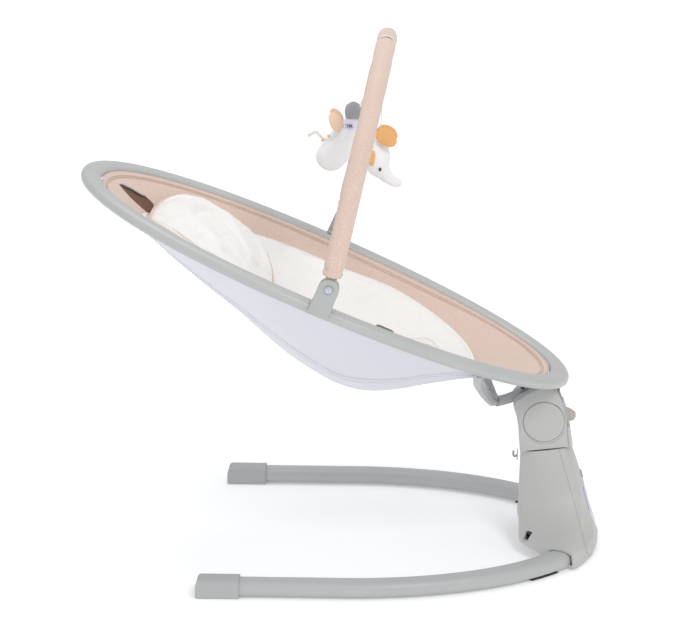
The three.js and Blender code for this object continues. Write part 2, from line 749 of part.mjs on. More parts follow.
function socketArm() {
  const outline = new THREE.Shape();
  [[285, 200], [270, 224.5], [268.5, 248], [272, 250], [296, 255.5], [318, 253], [331, 247.5], [324, 214],
    [322, 200]]
    .forEach(([x, z], i) => (i ? outline.lineTo(x, z) : outline.moveTo(x, z)));
  const slim = join(
    crosswise(ARM.hubRadius, HUB.x, HUB.z, -ARM.hubHalf, ARM.hubHalf, 28),
    sideways(outline, -ARM.hubHalf, ARM.hubHalf),
  );
  const block = rounded([
    [268.5, 224.5, 3],
    [268.5, 249, 3],
    [296, 255.5, 3],
    [318, 253, 3],
    [322, 232, 3],
    [282, 224, 3],
  ]);
  return cut(
    join(slim, sideways(block, -ARM.half, ARM.half, 1.5)),
    crosswise(AXLE_RADIUS + 0.4, HUB.x, HUB.z, -30, 30),
    sweep(circle(SEAT_TUBE_RADIUS + GAP + 0.05), seatTubePath, 10, 5),
    crosswise(2, 273.5, 244.5, -30, -8.9, 12),
    crosswise(2, 275, 229, -30, -8.9, 12),
    fromRing(ringTube(GAP + 0.1, ...FOOT_HALF, RING_STEPS)),
  );
}

const socketScrew = (x, z) =>
  join(crosswise(1.6, x, z, -13, -9.2, 12), crosswise(3.2, x, z, -14.6, -ARM.half - GAP, 16));

// ---------------------------------------------------------------- ring
const FOOT_HALF = [-Math.PI / 2 + 0.001, Math.PI / 2 - 0.001];
const HEAD_HALF = FOOT_HALF.map((angle) => angle + Math.PI);
const RING_STEPS = 22;

/** A point of the ring's centreline, or of the same outline drawn in by inset. */
function ringPoint(angle, inset = 0) {
  const power = 2 / RING.power;
  const part = (value) => Math.sign(value) * Math.abs(value) ** power;
  const u = (RING.halfLength - inset) * part(Math.cos(angle));
  const v = (RING.halfWidth - inset) * part(Math.sin(angle)) * (1 + (RING.egg * u) / RING.halfLength);
  return new THREE.Vector2(u, v);
}

class RingPath extends THREE.Curve {
  constructor(from, to) {
    super();
    Object.assign(this, { from, to });
  }
  getPoint(t) {
    const { x, y } = ringPoint(THREE.MathUtils.lerp(this.from, this.to, t));
    return new THREE.Vector3(x, y, 0);
  }
}

/** A stretch of the ring as a solid bar, grown by grow. */
function ringTube(grow, from, to, steps) {
  return sweep(oval(RING.halfThick + grow, RING.halfWide + grow), new RingPath(from, to), steps, 5);
}

function ringHalf(from, to) {
  const section = withHole(
    oval(RING.halfThick, RING.halfWide),
    oval(RING.halfThick - RING.wall, RING.halfWide - RING.wall),
  );
  return sweep(section, new RingPath(from, to), RING_STEPS, 5);
}

// ---------------------------------------------------------------- toy bar
/** Clamps the two ring halves together and carries the toy bar's pivot. */
function barBracket(side) {
  const { half, ear, plate, outer, inner, bottom, pivot } = BRACKET;
  const outline = new THREE.Shape();
  outline.moveTo(-half, bottom);
  outline.lineTo(half, bottom);
  outline.lineTo(ear, pivot);
  outline.absarc(0, pivot, ear, 0, Math.PI);
  outline.lineTo(-half, bottom);
  const earOutline = new THREE.Shape();
  earOutline.moveTo(-ear, 10.5);
  earOutline.lineTo(ear, 10.5);
  earOutline.lineTo(ear, pivot);
  earOutline.absarc(0, pivot, ear, 0, Math.PI);
  earOutline.lineTo(-ear, 10.5);
  const body = join(
    sideways(outline, outer, outer + plate, 1),
    sideways(earOutline, inner, inner + plate),
    box([-half + 1, 232, 10.3], [half - 1, outer + 1, 13.5]),
  );
  const bored = cut(body, crosswise(PIVOT_RADIUS + GAP, 0, pivot, 230, 270, 20));
  return side > 0 ? bored : bored.mirror([0, 1, 0]);
}

class ArchPath extends THREE.Curve {
  constructor(start) {
    super();
    this.start = start;
  }
  getPoint(t) {
    const lowest = Math.asin((this.start / BAR.high) ** (BAR.power / 2));
    const angle = THREE.MathUtils.lerp(lowest, Math.PI - lowest, t);
    const part = (value) => Math.sign(value) * Math.abs(value) ** (2 / BAR.power);
    return new THREE.Vector3(0, BAR.half * part(Math.cos(angle)), BAR.high * part(Math.sin(angle)));
  }
}

function barRod() {
  const arch = sweep(circle(BAR_ROD_RADIUS), new ArchPath(SLEEVE.start - 2), 22, 3);
  const lug = (side) => {
    const middle = side * BAR.half;
    const blade = new THREE.Shape();
    blade.absarc(0, 0, 10.5, Math.PI, 2 * Math.PI);
    blade.lineTo(8, 16);
    blade.lineTo(-8, 16);
    return join(
      sideways(blade, middle - 3.9, middle + 3.9),
      box([-5, middle - 3.9, 11], [5, middle + 3.9, 24]),
    ).subtract(solid(crosswise(PIVOT_RADIUS + 0.45, 0, 0, middle - 20, middle + 20, 20)));
  };
  return join(arch, lug(1), lug(-1));
}

function pivotScrew(side) {
  const profile = [[0, BRACKET.inner - 1.5], [PIVOT_RADIUS, BRACKET.inner - 1.5],
    [PIVOT_RADIUS, BRACKET.outer + BRACKET.plate + GAP], [6.3, BRACKET.outer + BRACKET.plate + GAP],
    [5.4, BRACKET.outer + BRACKET.plate + 2.6], [0, BRACKET.outer + BRACKET.plate + 3]];
  const screw = new THREE.LatheGeometry(profile.map(([r, y]) => new THREE.Vector2(r, y)), 20);
  screw.translate(0, 0, BRACKET.pivot);
  const head = BRACKET.outer + BRACKET.plate + 1.4;
  const slot = ([u, w]) => box([-u, head, BRACKET.pivot - w], [u, head + 9, BRACKET.pivot + w]);
  const cross = [[4, 0.9], [0.9, 4]].map(slot);
  const made = cut(screw, ...cross);
  return side > 0 ? made : made.mirror([0, 1, 0]);
}

// ---------------------------------------------------------------- fabric
/** Depth of the fabric bowl under the ring plane, along its length. */
const bowlDepth = stations([
  [-368, 2], [-330, 18], [-284, 37], [-230, 55], [-168, 74], [-107, 92], [-57, 110], [-10, 126], [40, 137],
  [80, 142], [118, 136], [160, 117], [200, 88], [255, 51], [310, 25], [368, 2],
]);
const RIM_INSET = RING.halfWide + 1.5;

/** Height of the bowl's outside over the ring plane. */
function bowlHeight(u, v) {
  const reach = (RING.halfLength - RIM_INSET) * 1.0001;
  const wide = (1 - Math.min(1, Math.abs(u) / reach) ** RING.power) ** (1 / RING.power);
  const edge = (RING.halfWidth - RIM_INSET) * wide * (1 + (RING.egg * u) / RING.halfLength);
  const share = Math.min(1, Math.abs(v) / Math.max(edge, 1));
  return -bowlDepth(u)[0] * (1 - share ** FABRIC.sag) - 1;
}

const BOWL_REACH = [0.001, 0.28, 0.52, 0.72, 0.87, 1];

const BOWL_SIDES = 28;
const bowlPoint = (angle, reach, lift) => {
  const rim = ringPoint(angle, RIM_INSET);
  const [u, v] = [rim.x * reach, rim.y * reach];
  return new THREE.Vector3(u, v, bowlHeight(u, v) + lift);
};

/** One layer of the bowl, its underside lifted by lift. */
function bowlLayer(lift, thick) {
  const under = BOWL_REACH.map((reach) => [reach, 0]);
  const over = BOWL_REACH.map((reach) => [reach, 1]).reverse();
  const place = (angle, reach, face) => bowlPoint(angle, reach, lift + face * thick);
  return dish(BOWL_SIDES, [...under, ...over], place);
}

/** All the room over the bowl's surface, lifted by lift. */
function bowlRoom(lift) {
  const profile = [...BOWL_REACH.map((reach) => [reach, 0]), [1, 1], [0.001, 1]];
  return dish(BOWL_SIDES, profile, (angle, reach, top) => {
    const point = bowlPoint(angle, reach, lift);
    return top ? point.setZ(150) : point;
  });
}

/** A point of a cushion's outline. */
function cushionPoint(shape, angle, reach) {
  const part = (value) => Math.sign(value) * Math.abs(value) ** (2 / shape.power);
  return [
    shape.u + shape.halfLength * reach * part(Math.cos(angle)),
    shape.halfWidth * reach * part(Math.sin(angle)),
  ];
}

const LINER_LIFT = FABRIC.thick + FABRIC.gap;
const PAD_LIFT = LINER_LIFT + FABRIC.thick + FABRIC.gap;
const padFullness = (shape, u, v) => {
  const along = (Math.abs(u - shape.u) / shape.halfLength) ** shape.power;
  const share = along + (Math.abs(v) / shape.halfWidth) ** shape.power;
  return 1 - Math.min(1, share) ** 2;
};
const padTop = (u, v) => bowlHeight(u, v) + PAD_LIFT + 4 + (FABRIC.padThick - 4) * padFullness(PAD, u, v);

/** A cushion-shaped block: its top from topAt, its bottom as far down as asked. */
function cushion(shape, around, reach, topAt, bottomAt) {
  const profile = [...reach.map((r) => [r, 0]), ...reach.map((r) => [r, 1]).reverse()];
  return dish(around, profile, (angle, r, face) => {
    const [u, v] = cushionPoint(shape, angle, r);
    return new THREE.Vector3(u, v, face ? topAt(u, v) : bottomAt(u, v));
  });
}

/** The pad's outline as a block with the pad's top, raised by raise, down to far below it. */
const padBlock = (raise) =>
  cushion(PAD, 28, [0.001, 0.35, 0.65, 0.88, 1], (u, v) => padTop(u, v) + raise, () => -250);

const seatPad = () => common(padBlock(0), bowlRoom(PAD_LIFT));

function headPillow() {
  const full = (u, v) => padFullness(PILLOW, u, v);
  const rise = 8;
  const body = cushion(
    PILLOW,
    22,
    [0.001, 0.5, 0.85, 1],
    (u, v) => padTop(u, v) + rise + 7 + (FABRIC.pillowThick - 14) * full(u, v),
    (u, v) => padTop(u, v) + rise * (1 - full(u, v)) - 6 * full(u, v),
  );
  return cut(body, padBlock(FABRIC.gap));
}

const BUCKLE = { u: 116, w: -52, halfLong: 15, halfWide: 22, halfThick: 7 };

function crotchStrap() {
  const path = smooth([[214, 0, -54], [204, 0, -45], [192, 0, -38], [181, 0, -36.5], [168, 0, -41.5],
    [154, 0, -47.5], [143, 0, -51], [BUCKLE.u + BUCKLE.halfLong + 2, 0, BUCKLE.w]]);
  return strap(path.getPoints(12), new THREE.Vector3(0, 1, 0), 38, 5);
}

function waistStrap(side) {
  const [startU, startV] = [80, 92];
  const path = smooth([
    [startU, side * startV, padTop(startU, startV) + 4],
    [92, side * 74, padTop(92, 74) + 6],
    [106, side * 46, BUCKLE.w - 14],
    [BUCKLE.u, side * (BUCKLE.halfWide + 5), BUCKLE.w],
  ]);
  return strap(path.getPoints(8), new THREE.Vector3(0.95, side * 0.3, 0).normalize(), 24, 2.4);
}

const BUCKLE_BUTTON = { radius: 8, travel: 2.5, depth: 5 };

function buckleBody() {
  const { u, w, halfLong, halfWide, halfThick } = BUCKLE;
  const outline = rounded([[-halfLong, -halfWide, 8], [halfLong, -halfWide, 8], [halfLong, halfWide, 8],
    [-halfLong, halfWide, 8]]);
  const body = new THREE.ExtrudeGeometry(outline, {
    depth: 2 * halfThick - 4,
    bevelThickness: 2,
    bevelSize: 2,
    bevelOffset: -2,
    bevelSegments: 2,
    curveSegments: 4,
  }).translate(u, 0, w - halfThick + 2);
  const well = upright(BUCKLE_BUTTON.radius + 0.5, w + halfThick - 8.5, w + 20).translate(u, 0, 0);
  return cut(body, well);
}

function buckleButton() {
  const face = BUCKLE.w + BUCKLE.halfThick;
  return upright(BUCKLE_BUTTON.radius, face - BUCKLE_BUTTON.depth, face + 1).translate(BUCKLE.u, 0, 0);
}

// ---------------------------------------------------------------- toys
const ball = (x, y, z, rx, ry, rz) => new THREE.SphereGeometry(1, 9, 6).scale(rx, ry, rz).translate(x, y, z);

/** Height and forward place of the bar's centreline at a sideways position. */
function barAt(y) {
  const rise = BAR.high * (1 - (Math.abs(y) / BAR.half) ** BAR.power) ** (1 / BAR.power);
  const { x, z } = toyBar.position;
  return { x: x + rise * Math.sin(BAR.tilt), z: z + rise * Math.cos(BAR.tilt) };
}

const LOOP = { inner: 12.6, outer: 14, halfWide: 5 };

/** A band round the bar, along Y. */
const bandRound = (x, y, z, inner, outer, halfWide) =>
  new THREE.LatheGeometry(
    [[inner, -halfWide], [outer, -halfWide], [outer, halfWide], [inner, halfWide], [inner, -halfWide]].map(
      ([r, s]) => new THREE.Vector2(r, s),
    ),
    20,
  ).translate(x, y, z);

/** The sleeve, pinched in where the toys' loops grip it. */
function barSleeve() {
  const section = withHole(circle(SLEEVE.radius), circle(SLEEVE.bore));
  const sleeve = sweep(section, new ArchPath(SLEEVE.start), 22, 4);
  const grooves = [PONY.y, ELEPHANT.y].map((y) => {
    const rise = BAR.high * (1 - (Math.abs(y) / BAR.half) ** BAR.power) ** (1 / BAR.power);
    return bandRound(0, y, rise, LOOP.inner - 0.8, SLEEVE.radius + 6, LOOP.halfWide + 1);
  });
  return cut(sleeve, ...grooves);
}

/** A loop round the sleeve with a tape that runs down to the toy. */
function toyTape(y, toX, toZ) {
  const { x, z } = barAt(y);
  const loop = bandRound(x, y, z, LOOP.inner, LOOP.outer, LOOP.halfWide);
  const down = new THREE.Vector3(toX - x, 0, toZ - z);
  const start = new THREE.Vector3(x, y, z).addScaledVector(down.clone().normalize(), LOOP.inner + 0.5);
  const end = new THREE.Vector3(toX, y, toZ);
  return join(loop, strap([start, end], new THREE.Vector3(0, 1, 0), 8, 1.4));
}

const PONY = { y: -42, topX: 21, topZ: 664 };
const ELEPHANT = { y: 42, topX: 53, topZ: 618 };

const ponyToy = () =>
  join(
    ball(16, PONY.y, 631, 25, 24, 27),
    ball(-14, PONY.y, 601, 26, 25, 24),
    ball(1, PONY.y, 616, 24, 23, 24),
    ball(13, PONY.y, 661, 12, 14, 15),
    ball(-10, PONY.y, 652, 12, 7, 15),
  );

const elephantToy = () =>
  join(
    ball(49, ELEPHANT.y, 586, 23, 25, 31),
    ball(62, ELEPHANT.y, 561, 17, 12, 11),
    ball(74, ELEPHANT.y, 554, 12, 9, 9),
    ball(63, ELEPHANT.y, 612, 15, 8, 14),
  );

// ---------------------------------------------------------------- the assembly
for (const [hand, side] of [["right", -1], ["left", 1]]) {
  add(root, `${hand}_base_tube`, baseTube(side), LOOKS.frame);
  add(root, `${hand}_leg_cap`, legCap(side), LOOKS.frame);
  add(root, `${hand}_rear_foot`, rearFoot(side), LOOKS.rubber);
  add(root, `${hand}_cheek_shell`, cheek(side), LOOKS.housing);
  add(root, `${hand}_hub_cap`, hubCap(side), LOOKS.housing);
  add(ringPlane, `${hand}_bar_bracket`, barBracket(side), LOOKS.frame);
  add(ringPlane, `${hand}_pivot_screw`, pivotScrew(side), LOOKS.steel);
  add(ringPlane, `${hand}_waist_strap`, cut(waistStrap(side), padBlock(FABRIC.gap)), LOOKS.white);
}

add(root, "tower_front_shell", towerFront, LOOKS.housing);
add(root, "tower_rear_shell", towerRear, LOOKS.housing);
add(root, "tower_base_plate", basePlate(), LOOKS.darkHousing);
add(root, "control_panel", controlPanel(), LOOKS.panel);
add(root, "control_board", onRear(box([-12, -17, -28], [-10.4, 17, 55]), PANEL.z), LOOKS.board);
add(root, "power_switch", onRear(box([-10.1, -3, 47.8], [-6.9, 3, 53.8]), PANEL.z), LOOKS.black);
add(root, "power_button", alongRear(POWER.radius, -POWER.depth, 1.2, POWER.z), LOOKS.darkHousing);
add(root, "power_jack", powerJack(), LOOKS.black);
add(root, "net_hook", netHook(), LOOKS.housing);
add(root, "loudspeaker", upright(12, 6.4, 15).translate(370, 0, 0), LOOKS.black);
add(root, "drive_chassis", chassis(), LOOKS.nylon);
add(swing, "upper_swing_bearing", bearing(...UPPER_BEARING), LOOKS.steel);
add(swing, "lower_swing_bearing", bearing(...LOWER_BEARING), LOOKS.steel);
add(swing, "drive_motor", upright(11.5, -99, SHELF[0] - GAP).translate(PINION_X, 0, 0), LOOKS.steel);
add(swing, "motor_pinion", motorPinion(), LOOKS.brass);
add(swing, "swing_shaft", swingShaft(), LOOKS.steel);
add(swing, "gear_sector", gearSector(), LOOKS.nylon);

add(root, "head_rear_cover", headRearCover(), LOOKS.housing);
add(root, "swing_yoke", yoke(), LOOKS.darkHousing);
add(root, "recline_axle", crosswise(AXLE_RADIUS, HUB.x, HUB.z, -38, 38), LOOKS.steel);
add(root, "recline_button", reclineButton(), LOOKS.housing);
add(root, "lock_slider", lockSlider(), LOOKS.steel);
add(root, "recline_button_spring", coil(323.5, 330.5, -10.8, 198, 1.6, 0.4, 4), LOOKS.steel);

add(root, "socket_arm", socketArm(), LOOKS.darkHousing);
add(root, "lock_wheel", lockWheel(), LOOKS.steel);
add(root, "upper_socket_screw", socketScrew(273.5, 244.5), LOOKS.black);
add(root, "lower_socket_screw", socketScrew(275, 229), LOOKS.black);
const seatTube = sweep(circle(SEAT_TUBE_RADIUS), seatTubePath, 10, 5);
add(root, "seat_tube", cut(seatTube, brace(SEAT_TUBE_RADIUS + GAP)), LOOKS.frame);
const ringSpace = fromRing(ringTube(GAP + 0.2, ...FOOT_HALF, RING_STEPS));
add(root, "brace_tube", cut(brace(SEAT_TUBE_RADIUS), ringSpace), LOOKS.frame);
add(ringPlane, "ring_foot_half", ringHalf(...FOOT_HALF), LOOKS.frame);
add(ringPlane, "ring_head_half", ringHalf(...HEAD_HALF), LOOKS.frame);

add(ringPlane, "seat_shell_fabric", bowlLayer(0, FABRIC.thick), LOOKS.underside);
add(ringPlane, "rim_liner", bowlLayer(LINER_LIFT, FABRIC.thick), LOOKS.beige);
add(ringPlane, "seat_pad", seatPad(), LOOKS.white);
add(ringPlane, "head_pillow", headPillow(), LOOKS.white);
add(ringPlane, "crotch_strap", crotchStrap(), LOOKS.white);
add(ringPlane, "buckle_body", buckleBody(), LOOKS.buckle);
add(ringPlane, "buckle_button", buckleButton(), LOOKS.buckle);

add(toyBar, "toy_bar_rod", barRod(), LOOKS.nylon);
add(toyBar, "toy_bar_sleeve", barSleeve(), LOOKS.beige);
add(root, "pony_toy", ponyToy(), LOOKS.white);
add(root, "elephant_toy", elephantToy(), LOOKS.white);
const hangingTape = ({ y, topX, topZ }, toy) => cut(toyTape(y, topX, topZ), toy);
add(root, "pony_tape", hangingTape(PONY, ponyToy()), LOOKS.beige);
add(root, "elephant_tape", hangingTape(ELEPHANT, elephantToy()), LOOKS.beige);

export default root;
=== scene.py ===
"""Looks of an electric baby swing: smooth tubes, woven covers, stuffed pads, toys and studio light."""

import json
import math

import bmesh
import bpy
import numpy as np
from mathutils import Matrix, Vector, noise


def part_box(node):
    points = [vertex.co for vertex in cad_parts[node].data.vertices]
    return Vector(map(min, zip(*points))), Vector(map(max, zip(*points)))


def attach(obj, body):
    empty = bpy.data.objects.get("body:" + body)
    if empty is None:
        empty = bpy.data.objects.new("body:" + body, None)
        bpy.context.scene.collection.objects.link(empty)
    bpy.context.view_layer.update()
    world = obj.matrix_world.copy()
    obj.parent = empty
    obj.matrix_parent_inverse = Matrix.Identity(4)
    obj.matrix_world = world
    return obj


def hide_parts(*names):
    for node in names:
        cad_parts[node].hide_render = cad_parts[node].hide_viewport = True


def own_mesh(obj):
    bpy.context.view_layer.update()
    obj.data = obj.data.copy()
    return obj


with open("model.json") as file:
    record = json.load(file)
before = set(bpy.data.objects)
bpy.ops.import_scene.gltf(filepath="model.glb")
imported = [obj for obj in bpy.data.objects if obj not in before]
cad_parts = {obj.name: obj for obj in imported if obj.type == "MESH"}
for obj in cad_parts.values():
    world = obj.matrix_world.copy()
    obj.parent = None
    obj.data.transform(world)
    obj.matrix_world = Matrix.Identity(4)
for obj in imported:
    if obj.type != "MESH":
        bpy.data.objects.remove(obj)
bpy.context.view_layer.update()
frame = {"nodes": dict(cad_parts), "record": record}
NODES = frame["nodes"]
MM = 0.001

# ---------------------------------------------------------------- sizes, in millimetres
RING = {"x": -25.7, "z": 414.9, "tilt": math.radians(23.3), "length": 384.9, "width": 238.0}
RING.update(power=2.1, egg=-0.049, wide=15.5, thick=9.5)
BOWL = [
    [-368, 2], [-330, 18], [-284, 37], [-230, 55], [-168, 74], [-107, 92], [-57, 110], [-10, 126],
    [40, 137], [80, 142], [118, 136], [160, 117], [200, 88], [255, 51], [310, 25], [368, 2],
]
BOWL_SAG = 2.2
RIM_INSET = RING["wide"] + 1.5
LINER_LIFT = 2.5
PAD_LIFT = 5.0
PAD = {"u": -14, "length": 276, "width": 203, "power": 2.4, "thick": 18}
PILLOW = {"u": -171, "length": 106, "width": 147, "power": 2.9, "thick": 46}
BAR = {"x": -10.67, "z": 449.8, "tilt": math.radians(13.1), "high": 331, "half": 251.2, "power": 2.3}
SLEEVE = {"radius": 14.5, "bore": 8.3, "start": 18.5, "pinch": 11.8}
TOYS_Y = 42
LEG = {
    "y": 283.5, "end_y": 97, "front": -202.4, "bend_x": 10.2, "bend": 365.4, "bottom": 2,
    "wide": 38, "high": 23,
}
BUCKLE = {"u": 116, "w": -52}


def rgb(red, green, blue):
    """An sRGB colour of 0 to 255 as the linear colour that shaders take."""
    linear = [((c / 255 + 0.055) / 1.055) ** 2.4 if c > 10 else c / 3294.6 for c in (red, green, blue)]
    return (*linear, 1.0)


# ---------------------------------------------------------------- materials
class Nodes:
    """A material with a Principled shader, and short ways to feed it."""

    def __init__(self, name, colour, roughness, metallic=0.0):
        self.material = bpy.data.materials.new(name)
        self.material.use_nodes = True
        self.tree = self.material.node_tree
        self.shader = self.tree.nodes["Principled BSDF"]
        self.shader.inputs["Base Color"].default_value = colour
        self.shader.inputs["Roughness"].default_value = roughness
        self.shader.inputs["Metallic"].default_value = metallic
        self.place = self.tree.nodes.new("ShaderNodeTexCoord").outputs["Object"]

    def link(self, start, end):
        self.tree.links.new(start, end)

    def texture(self, kind, scale, **settings):
        node = self.tree.nodes.new(kind)
        self.link(self.place, node.inputs["Vector"])
        node.inputs["Scale"].default_value = scale
        for key, value in settings.items():
            if key in node.inputs:
                node.inputs[key].default_value = value
            else:
                setattr(node, key, value)
        return node

    def noise(self, scale, detail=2.0, stretch=None):
        node = self.texture("ShaderNodeTexNoise", scale, Detail=detail)
        if stretch:
            mapping = self.tree.nodes.new("ShaderNodeMapping")
            mapping.inputs["Scale"].default_value = stretch
            self.link(self.place, mapping.inputs["Vector"])
            self.link(mapping.outputs["Vector"], node.inputs["Vector"])
        return node.outputs["Fac"]

    def bands(self, scale, direction, distortion=0.0):
        node = self.texture("ShaderNodeTexWave", scale, bands_direction=direction, Distortion=distortion)
        return node.outputs["Fac"]

    def maths(self, operation, first, second):
        node = self.tree.nodes.new("ShaderNodeMath")
        node.operation = operation
        for socket, value in zip(node.inputs, (first, second)):
            if isinstance(value, (int, float)):
                socket.default_value = value
            else:
                self.link(value, socket)
        return node.outputs[0]

    def ramp(self, value, low, high, start, end):
        node = self.tree.nodes.new("ShaderNodeMapRange")
        self.link(value, node.inputs["Value"])
        for key, number in zip(("From Min", "From Max", "To Min", "To Max"), (low, high, start, end)):
            node.inputs[key].default_value = number
        return node.outputs["Result"]

    def mix(self, share, first, second):
        node = self.tree.nodes.new("ShaderNodeMix")
        node.data_type = "RGBA"
        self.link(share, node.inputs["Factor"])
        for socket, value in zip((node.inputs[6], node.inputs[7]), (first, second)):
            if isinstance(value, tuple):
                socket.default_value = value
            else:
                self.link(value, socket)
        return node.outputs[2]

    def colour(self, output):
        self.link(output, self.shader.inputs["Base Color"])

    def roughness(self, output):
        self.link(output, self.shader.inputs["Roughness"])

    def bump(self, heights):
        """Bumps one after the other: each is a value, its strength and its depth in metres."""
        previous = None
        for value, strength, depth in heights:
            node = self.tree.nodes.new("ShaderNodeBump")
            node.inputs["Strength"].default_value = strength
            node.inputs["Distance"].default_value = depth
            self.link(value, node.inputs["Height"])
            if previous is not None:
                self.link(previous, node.inputs["Normal"])
            previous = node.outputs["Normal"]
        self.link(previous, self.shader.inputs["Normal"])


def scaled(colour, factor):
    return (*[min(1.0, c * factor) for c in colour[:3]], 1.0)


def plastic(name, colour, roughness=0.42, grain=0.00006, wear=1.06):
    """Moulded plastic: fine spark-eroded grain, faint flow marks and edges rubbed a little lighter."""
    m = Nodes(name, colour, roughness)
    broad = m.noise(9, 3)
    base = m.mix(m.ramp(broad, 0.35, 0.65, 0, 1), scaled(colour, 0.97), scaled(colour, 1.02))
    edges = m.tree.nodes.new("ShaderNodeNewGeometry").outputs["Pointiness"]
    m.colour(m.mix(m.ramp(edges, 0.52, 0.62, 0, 0.6), base, scaled(colour, wear)))
    m.roughness(m.ramp(m.noise(60, 4), 0.3, 0.7, roughness - 0.05, roughness + 0.06))
    m.bump([(m.noise(1400, 2), 0.25, grain), (broad, 0.05, 0.0006)])
    return m.material


def painted_metal(name, colour, roughness=0.38):
    """Powder-coated tube: slight orange peel under a satin coat."""
    m = Nodes(name, colour, roughness)
    m.colour(m.mix(m.ramp(m.noise(12, 2), 0.3, 0.7, 0, 1), scaled(colour, 0.98), scaled(colour, 1.02)))
    m.roughness(m.ramp(m.noise(45, 4), 0.3, 0.7, roughness - 0.05, roughness + 0.07))
    m.bump([(m.noise(420, 2), 0.18, 0.00015)])
    m.shader.inputs["Coat Weight"].default_value = 0.12
    m.shader.inputs["Coat Roughness"].default_value = 0.3
    return m.material


def bare_metal(name, colour, roughness):
    """Plated or turned metal with fine brushed lines."""
    m = Nodes(name, colour, roughness, 1.0)
    m.roughness(m.ramp(m.noise(700, 3, (1, 0.08, 1)), 0.3, 0.7, roughness - 0.08, roughness + 0.1))
    m.bump([(m.noise(900, 2, (1, 0.1, 1)), 0.15, 0.00004)])
    return m.material


def rubber(name, colour):
    m = Nodes(name, colour, 0.8)
    m.roughness(m.ramp(m.noise(80, 3), 0.3, 0.7, 0.72, 0.88))
    m.bump([(m.noise(900, 3), 0.35, 0.0001)])
    return m.material


def woven(name, colour, pitch=1.1, fleck=0.1, bump=0.00025, sheen=0.25, wrinkles=0.0012, rough=0.88):
    """Woven or knitted cloth: two crossing sets of threads, melange flecks and soft creases."""
    m = Nodes(name, colour, rough)
    turns = 1000 * math.tau / 20 / pitch
    crossing = m.maths("MAXIMUM", m.bands(turns, "X", 0.6), m.bands(turns, "Z", 0.6))
    across = m.bands(turns, "Y", 0.6)
    threads = m.maths("MULTIPLY", m.maths("ADD", crossing, across), 0.5)
    flecks = m.noise(650, 3, (1, 1, 0.45))
    broad = m.noise(16, 3)
    cloth = m.mix(m.ramp(flecks, 0.3, 0.7, 0, 1), scaled(colour, 1 - fleck), scaled(colour, 1 + 0.7 * fleck))
    cloth = m.mix(m.ramp(broad, 0.3, 0.7, 0, 0.35), cloth, scaled(colour, 1 - 0.6 * fleck))
    m.colour(m.mix(m.ramp(threads, 0.15, 0.6, 0.22, 0), cloth, scaled(colour, 0.8)))
    m.roughness(m.ramp(flecks, 0.3, 0.7, rough - 0.06, rough + 0.06))
    m.bump([(m.noise(28, 4), 0.35, wrinkles), (threads, 0.5, bump), (flecks, 0.3, bump)])
    m.shader.inputs["Sheen Weight"].default_value = sheen
    m.shader.inputs["Sheen Roughness"].default_value = 0.45
    return m.material


def plush(name, colour, depth=0.0006):
    """Short velvety pile with a soft sheen."""
    m = Nodes(name, colour, 0.95)
    pile = m.noise(1100, 3)
    m.colour(m.mix(m.ramp(m.noise(90, 4), 0.3, 0.7, 0, 1), scaled(colour, 0.98), scaled(colour, 1.01)))
    m.roughness(m.ramp(pile, 0.3, 0.7, 0.88, 1.0))
    m.bump([(m.noise(140, 4), 0.4, depth), (pile, 0.5, 0.4 * depth)])
    m.shader.inputs["Sheen Weight"].default_value = 0.5
    m.shader.inputs["Sheen Roughness"].default_value = 0.5
    return m.material


def webbing(name, colour):
    """Flat woven tape with diagonal ribs."""
    m = Nodes(name, colour, 0.8)
    ribs = m.maths("MULTIPLY", m.bands(260, "DIAGONAL", 0.3), m.bands(180, "Y", 0.2))
    m.colour(m.mix(m.ramp(ribs, 0.0, 0.8, 0, 1), scaled(colour, 0.86), scaled(colour, 1.04)))
    m.roughness(m.ramp(m.noise(500, 2), 0.3, 0.7, 0.74, 0.88))
    m.bump([(ribs, 0.6, 0.0003)])
    return m.material


def gloss(name, colour, roughness=0.12):
    m = Nodes(name, colour, roughness)
    m.roughness(m.ramp(m.noise(40, 4), 0.3, 0.7, roughness - 0.03, roughness + 0.08))
    m.bump([(m.noise(300, 2), 0.05, 0.0001)])
    m.shader.inputs["Coat Weight"].default_value = 0.6
    m.shader.inputs["Coat Roughness"].default_value = 0.08
    return m.material


def circuit_board(name):
    """Green solder mask with copper tracks."""
    m = Nodes(name, rgb(22, 92, 52), 0.35)
    tracks = m.texture("ShaderNodeTexBrick", 160)
    colours = {"Color1": rgb(20, 84, 46), "Color2": rgb(28, 104, 60), "Mortar": rgb(170, 120, 60)}
    for key, value in colours.items():
        tracks.inputs[key].default_value = value
    tracks.inputs["Mortar Size"].default_value = 0.03
    m.colour(tracks.outputs["Color"])
    m.roughness(m.ramp(m.noise(50, 3), 0.3, 0.7, 0.3, 0.45))
    m.bump([(tracks.outputs["Fac"], 0.3, 0.0001)])
    return m.material


